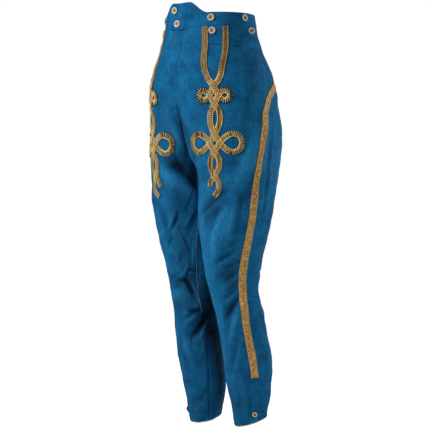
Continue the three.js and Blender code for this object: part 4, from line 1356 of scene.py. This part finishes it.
# the first line is dark navy stitches just below the welt, painted shade in the pocket's opening; the second
# sews the welt
for name, v, lift, pitch, thread, long, thick in (
    ("pocket_slit", 1.12, 0.2, 2.0, navyThread, 2.6, 1.3),
    ("pocket_stitches", 0.1, 0.9, 2.4, blueThread, 2.0, 0.6),
):
    points, normals = weltPlace(np.full(40, v), np.linspace(0.03, 0.97, 40))
    sewLines(name, [stitchLine(points, normals, lift, pitch)], thread, "blue_cloth", long, thick)

# two tacks beside the knot, and a pale line of stitches along each inseam, a painted highlight on its turned
# edge
tacks = []
for first, last, z in ((72, 78, -38), (70, 79, -49)):
    points, normals = onCloth(1, np.linspace(first, last, 30), np.linspace(z, z + 1.5, 30))
    tacks.append(stitchLine(points, normals, 0.3, 2.0))
sewLines("pocket_tacks", tacks, navyThread, "blue_cloth", 2.8, 2.7)
inseamHighlight = {"top": -424, "foot": -672, "from": 2.4, "pitch": 3.0}
inseamHighlights = []
for side in sides.values():
    z = np.linspace(inseamHighlight["top"], inseamHighlight["foot"], 150)
    s = sectionAt(z)
    points, normals = onCloth(side, s["inseam"] + inseamHighlight["from"] / (s["inner"] * rad), z)
    inseamHighlights.append(stitchLine(points, normals, 0.15, inseamHighlight["pitch"]))
sewLines("inseam_highlight", inseamHighlights, paleThread, "blue_cloth", 2.9, 1.2)


def ventPlace(side):
    def place(v, u):
        z = flap["ventTop"] + (cut["hemZ"] - flap["ventTop"]) * v
        s = sectionAt(z)
        return onCloth(side, s["outseam"] + (flap["ventFrom"] + flap["ventWidth"] * u) / (s["outer"] * rad), z)
    return place


def ventCrown(v, u):
    return (0.35 + 0.65 * smoothStep(u / 0.5)) * (0.6 + 0.4 * smoothStep(v / 0.08))


for word, side in sides.items():
    piece, points, normals = laidShell(
        "vent_cloth_" + word, ventPlace(side), 46, 14, flap["thick"], ventCrown, 0.2,
    )
    settle(piece, woolCloth, "blue_cloth", "vent_flap_" + word)
    edge = points[:, 11] + normals[:, 11] * flap["thick"]
    sewLines("vent_stitches_" + word, [stitchLine(edge, normals[:, 11], 0.15)], blueThread, "blue_cloth")

hem = {"high": 14, "proud": 3.4, "thick": 1.0, "clear": 0.1, "girth": 245, "columns": 150}


def hemRing(side, z, out):
    a = np.linspace(0, 360, hem["columns"], endpoint=False) + frontEdge(np.array([float(cut["hemZ"])]))[0]
    points, normals = onCloth(side, a, max(z, cut["hemZ"] + 1.0), np.full(len(a), float(out)))
    points[:, 2] += min(0, z - cut["hemZ"] - 1)
    return points, normals


hemLines = []
for word, side in sides.items():
    heights = [cut["hemZ"] + up for up in (hem["high"], 6, 1, 0, -hem["proud"] * 0.6, -hem["proud"])]
    inside = -cut["cloth"] - hem["clear"]
    outer, inner = (
        np.stack([hemRing(side, z, out)[0] for z in heights]) for out in (inside, inside - hem["thick"])
    )
    uv = mapOf(np.linspace(0, hem["girth"], hem["columns"]), outer[..., 2])
    piece = shell("hem_facing_cloth_" + word, outer, inner, uv, wrap=True, roll=0.35)
    settle(piece, whiteCotton, "white_cotton", "hem_facing_" + word)
    ring, normals = (np.concatenate([row, row[:1]]) for row in hemRing(side, cut["hemZ"] + hem["high"], 0))
    hemLines.append(stitchLine(ring, normals, 0.1))
sewLines("hem_stitches", hemLines, blueThread, "blue_cloth")
print("flaps and hems made")

button = {
    "steps": 40, "radius": 8.5, "hemRadius": 6.5, "hemZ": -903, "holeRadius": 7.4,
    "threadApart": 1.2, "threadHigh": 2.55, "threadSize": (4.2, 0.9, 0.7),
}
# from the middle of the underside round the rim to the middle of the face: share of the radius, height in mm
buttonProfile = [
    (0.0, 0.3), (0.26, 0.3), (0.26, 0.9), (0.7, 0.95), (0.93, 1.2), (1.0, 1.9), (0.985, 2.6), (0.92, 3.15),
    (0.82, 3.4), (0.72, 3.35), (0.63, 3.0), (0.58, 2.65), (0.5, 2.45), (0.25, 2.4), (0.0, 2.4),
]


def makeButton(name, point, normal, radius):
    steps = button["steps"]
    turn = np.linspace(0, 2 * np.pi, steps, endpoint=False)
    circle = np.stack([np.cos(turn), np.sin(turn)], -1)
    rings, uv = [], []
    for share, high in buttonProfile[1:-1]:
        rings.append(np.concatenate([share * radius * circle, np.full((steps, 1), high)], 1))
        uv += [(share * button["radius"], high)] * steps
    points = np.concatenate(rings + [[[0, 0, buttonProfile[0][1]], [0, 0, buttonProfile[-1][1]]]])
    uv += [(0, 0), (0, 0)]
    low, top = len(points) - 2, len(points) - 1
    faces = []
    for j in range(0, low - steps, steps):
        for i in range(steps):
            after = (i + 1) % steps
            faces.append([j + i, j + after, j + steps + after, j + steps + i])
    for i in range(steps):
        after = (i + 1) % steps
        faces += [[after, i, low], [low - steps + i, low - steps + after, top]]
    turned = np.array(Vector((0, 0, 1)).rotation_difference(Vector(normal)).to_matrix())
    piece = meshPiece(name + "_turned", points @ turned.T + point, faces, uv, {})
    settle(piece, boneFinish, "bone", name)
    return turned


# name, side, x from the centre front, height, distance off the cloth
waistSeats = [("waist_button_upper", 1, -13, 46, 3.8), ("waist_button_lower", 1, -1, 14, 3.8)]
# the same with an angle round the leg in place of x
legSeats = []
for word, side in sides.items():
    hemSeam = float(sectionAt(np.array([float(button["hemZ"])]))["outseam"][0]) - 3
    legSeats += [
        ("brace_button_front_upper_" + word, side, 44, 19, 0.5),
        ("brace_button_front_lower_" + word, side, 45, -12, 0.0),
        ("brace_button_side_upper_" + word, side, 91, 19, 0.5),
        ("brace_button_side_lower_" + word, side, 100, -12, 0.0),
        ("hem_button_" + word, side, hemSeam, button["hemZ"], 1.95),
    ]
# these hang further out on their threads, and turned: distance, and what is added to the normal
hanging = {
    "waist_button_upper": (1.2, (0.26, 0, 0)),
    "waist_button_lower": (1.2, (0.26, 0, 0)),
    "brace_button_side_lower_left": (2.6, (0, -0.45, 0)),
}
threads, darkRings = [], []
for name, side, where, z, out in waistSeats + legSeats:
    atHem = name.startswith("hem")
    if name.startswith("waist"):
        point, normal = (found[0] for found in frontPoint([where], [z], [out]))
    else:
        point, normal = (found[0] for found in onCloth(side, [where], [z], [out]))
    if atHem:
        # a dark ring of stitches shows all round the button
        turn = np.linspace(0, 2 * np.pi, 41)
        off = button["holeRadius"] * np.stack([np.cos(turn), np.sin(turn)])
        degree = sectionAt(np.array([float(z)]))["outer"] * rad
        ring, ringNormals = onCloth(side, where + off[0] / degree, z + off[1], 1.9)
        darkRings.append(stitchLine(ring, ringNormals, 0.1, 1.7))
    if name in hanging:
        further, lean = hanging[name]
        point = point + normal * further
        normal = unit(normal + np.array(lean))
    turned = makeButton(name, point, normal, button["hemRadius" if atHem else "radius"])
    for sign in (1, -1):
        here = point + turned @ np.array([0, sign * button["threadApart"], button["threadHigh"]])
        threads.append((here, turned[:, 0], turned[:, 1]))
threadRows = (np.array(rows) for rows in zip(*threads))
sewAlong("button_threads", stitchTree, *threadRows, button["threadSize"], darkThread, "bone")
sewLines("hem_button_rings", darkRings, inkThread, "blue_cloth", 2.6, 3.2)
print("buttons made")
studio = {
    "ambient": 0.05, "paperGlow": 0.96, "floorZ": -1.04, "floorReach": 40.0, "floorSteps": 96,
    "azimuth": 50.0, "distance": 6.0, "lens": 211.4, "aim": (0.0076, 0.009, -0.4427), "lampAim": (0, 0, -0.45),
}


def whiteForTheEye(tree, seen, lighting):
    # a plain white seen by the eye, while its light on the cloth is softer
    path = addNode(tree, "ShaderNodeLightPath")
    return scaleOf(tree, path.outputs["Is Camera Ray"], seen - lighting, lighting)


def makeStudio():
    paper, tree, shader = newMaterial(
        "studio paper", Roughness=0.95, Base_Color=(0.9, 0.9, 0.9, 1), Emission_Color=(1, 1, 1, 1),
    )
    tree.links.new(whiteForTheEye(tree, studio["paperGlow"], 0.0), shader.inputs["Emission Strength"])
    floor = bpy.data.meshes.new("floor")
    steps, reach, z = studio["floorSteps"], studio["floorReach"], studio["floorZ"]
    turns = [k * 2 * math.pi / steps for k in range(steps)]
    verts = [(0, 0, z)] + [(reach * math.cos(turn), reach * math.sin(turn), z) for turn in turns]
    floor.from_pydata(verts, [], [(0, 1 + k, 1 + (k + 1) % steps) for k in range(steps)])
    floor.materials.append(paper)
    addObject("floor", floor)
    world = bpy.data.worlds.new("studio")
    world.use_nodes = True
    background = world.node_tree.nodes["Background"]
    background.inputs[0].default_value = (1.0, 1.0, 1.0, 1)
    world.node_tree.links.new(whiteForTheEye(world.node_tree, 1.0, studio["ambient"]), background.inputs[1])
    bpy.context.scene.world = world
    bpy.context.scene.view_settings.view_transform = "Standard"


def addAround(name, data, azimuth, elevation, far, aim):
    # a lamp or the camera, at a distance from what it is aimed at
    level, turn = math.cos(elevation * rad), azimuth * rad
    way = Vector((math.sin(turn) * level, -math.cos(turn) * level, math.sin(elevation * rad)))
    made = addObject(name, data)
    made.location = Vector(aim) + way * far
    made.rotation_euler = (-way).to_track_quat("-Z", "Y").to_euler()
    return made


makeStudio()
for name, azimuth, elevation, far, size, power in (
    ("key", -16, 36, 3.2, 1.2, 73), ("fill", 106, 12, 3.6, 2.4, 26), ("back", 166, 24, 3.2, 1.8, 30),
):
    lamp = bpy.data.lights.new(name, "AREA")
    lamp.size, lamp.energy = size, power
    addAround(name, lamp, azimuth, elevation, far, studio["lampAim"])
camera = bpy.data.cameras.new("camera")
camera.lens, camera.sensor_width = studio["lens"], 36
eye = addAround("camera", camera, studio["azimuth"], 0, studio["distance"], studio["aim"])
bpy.context.scene.camera = eye
print("studio made")
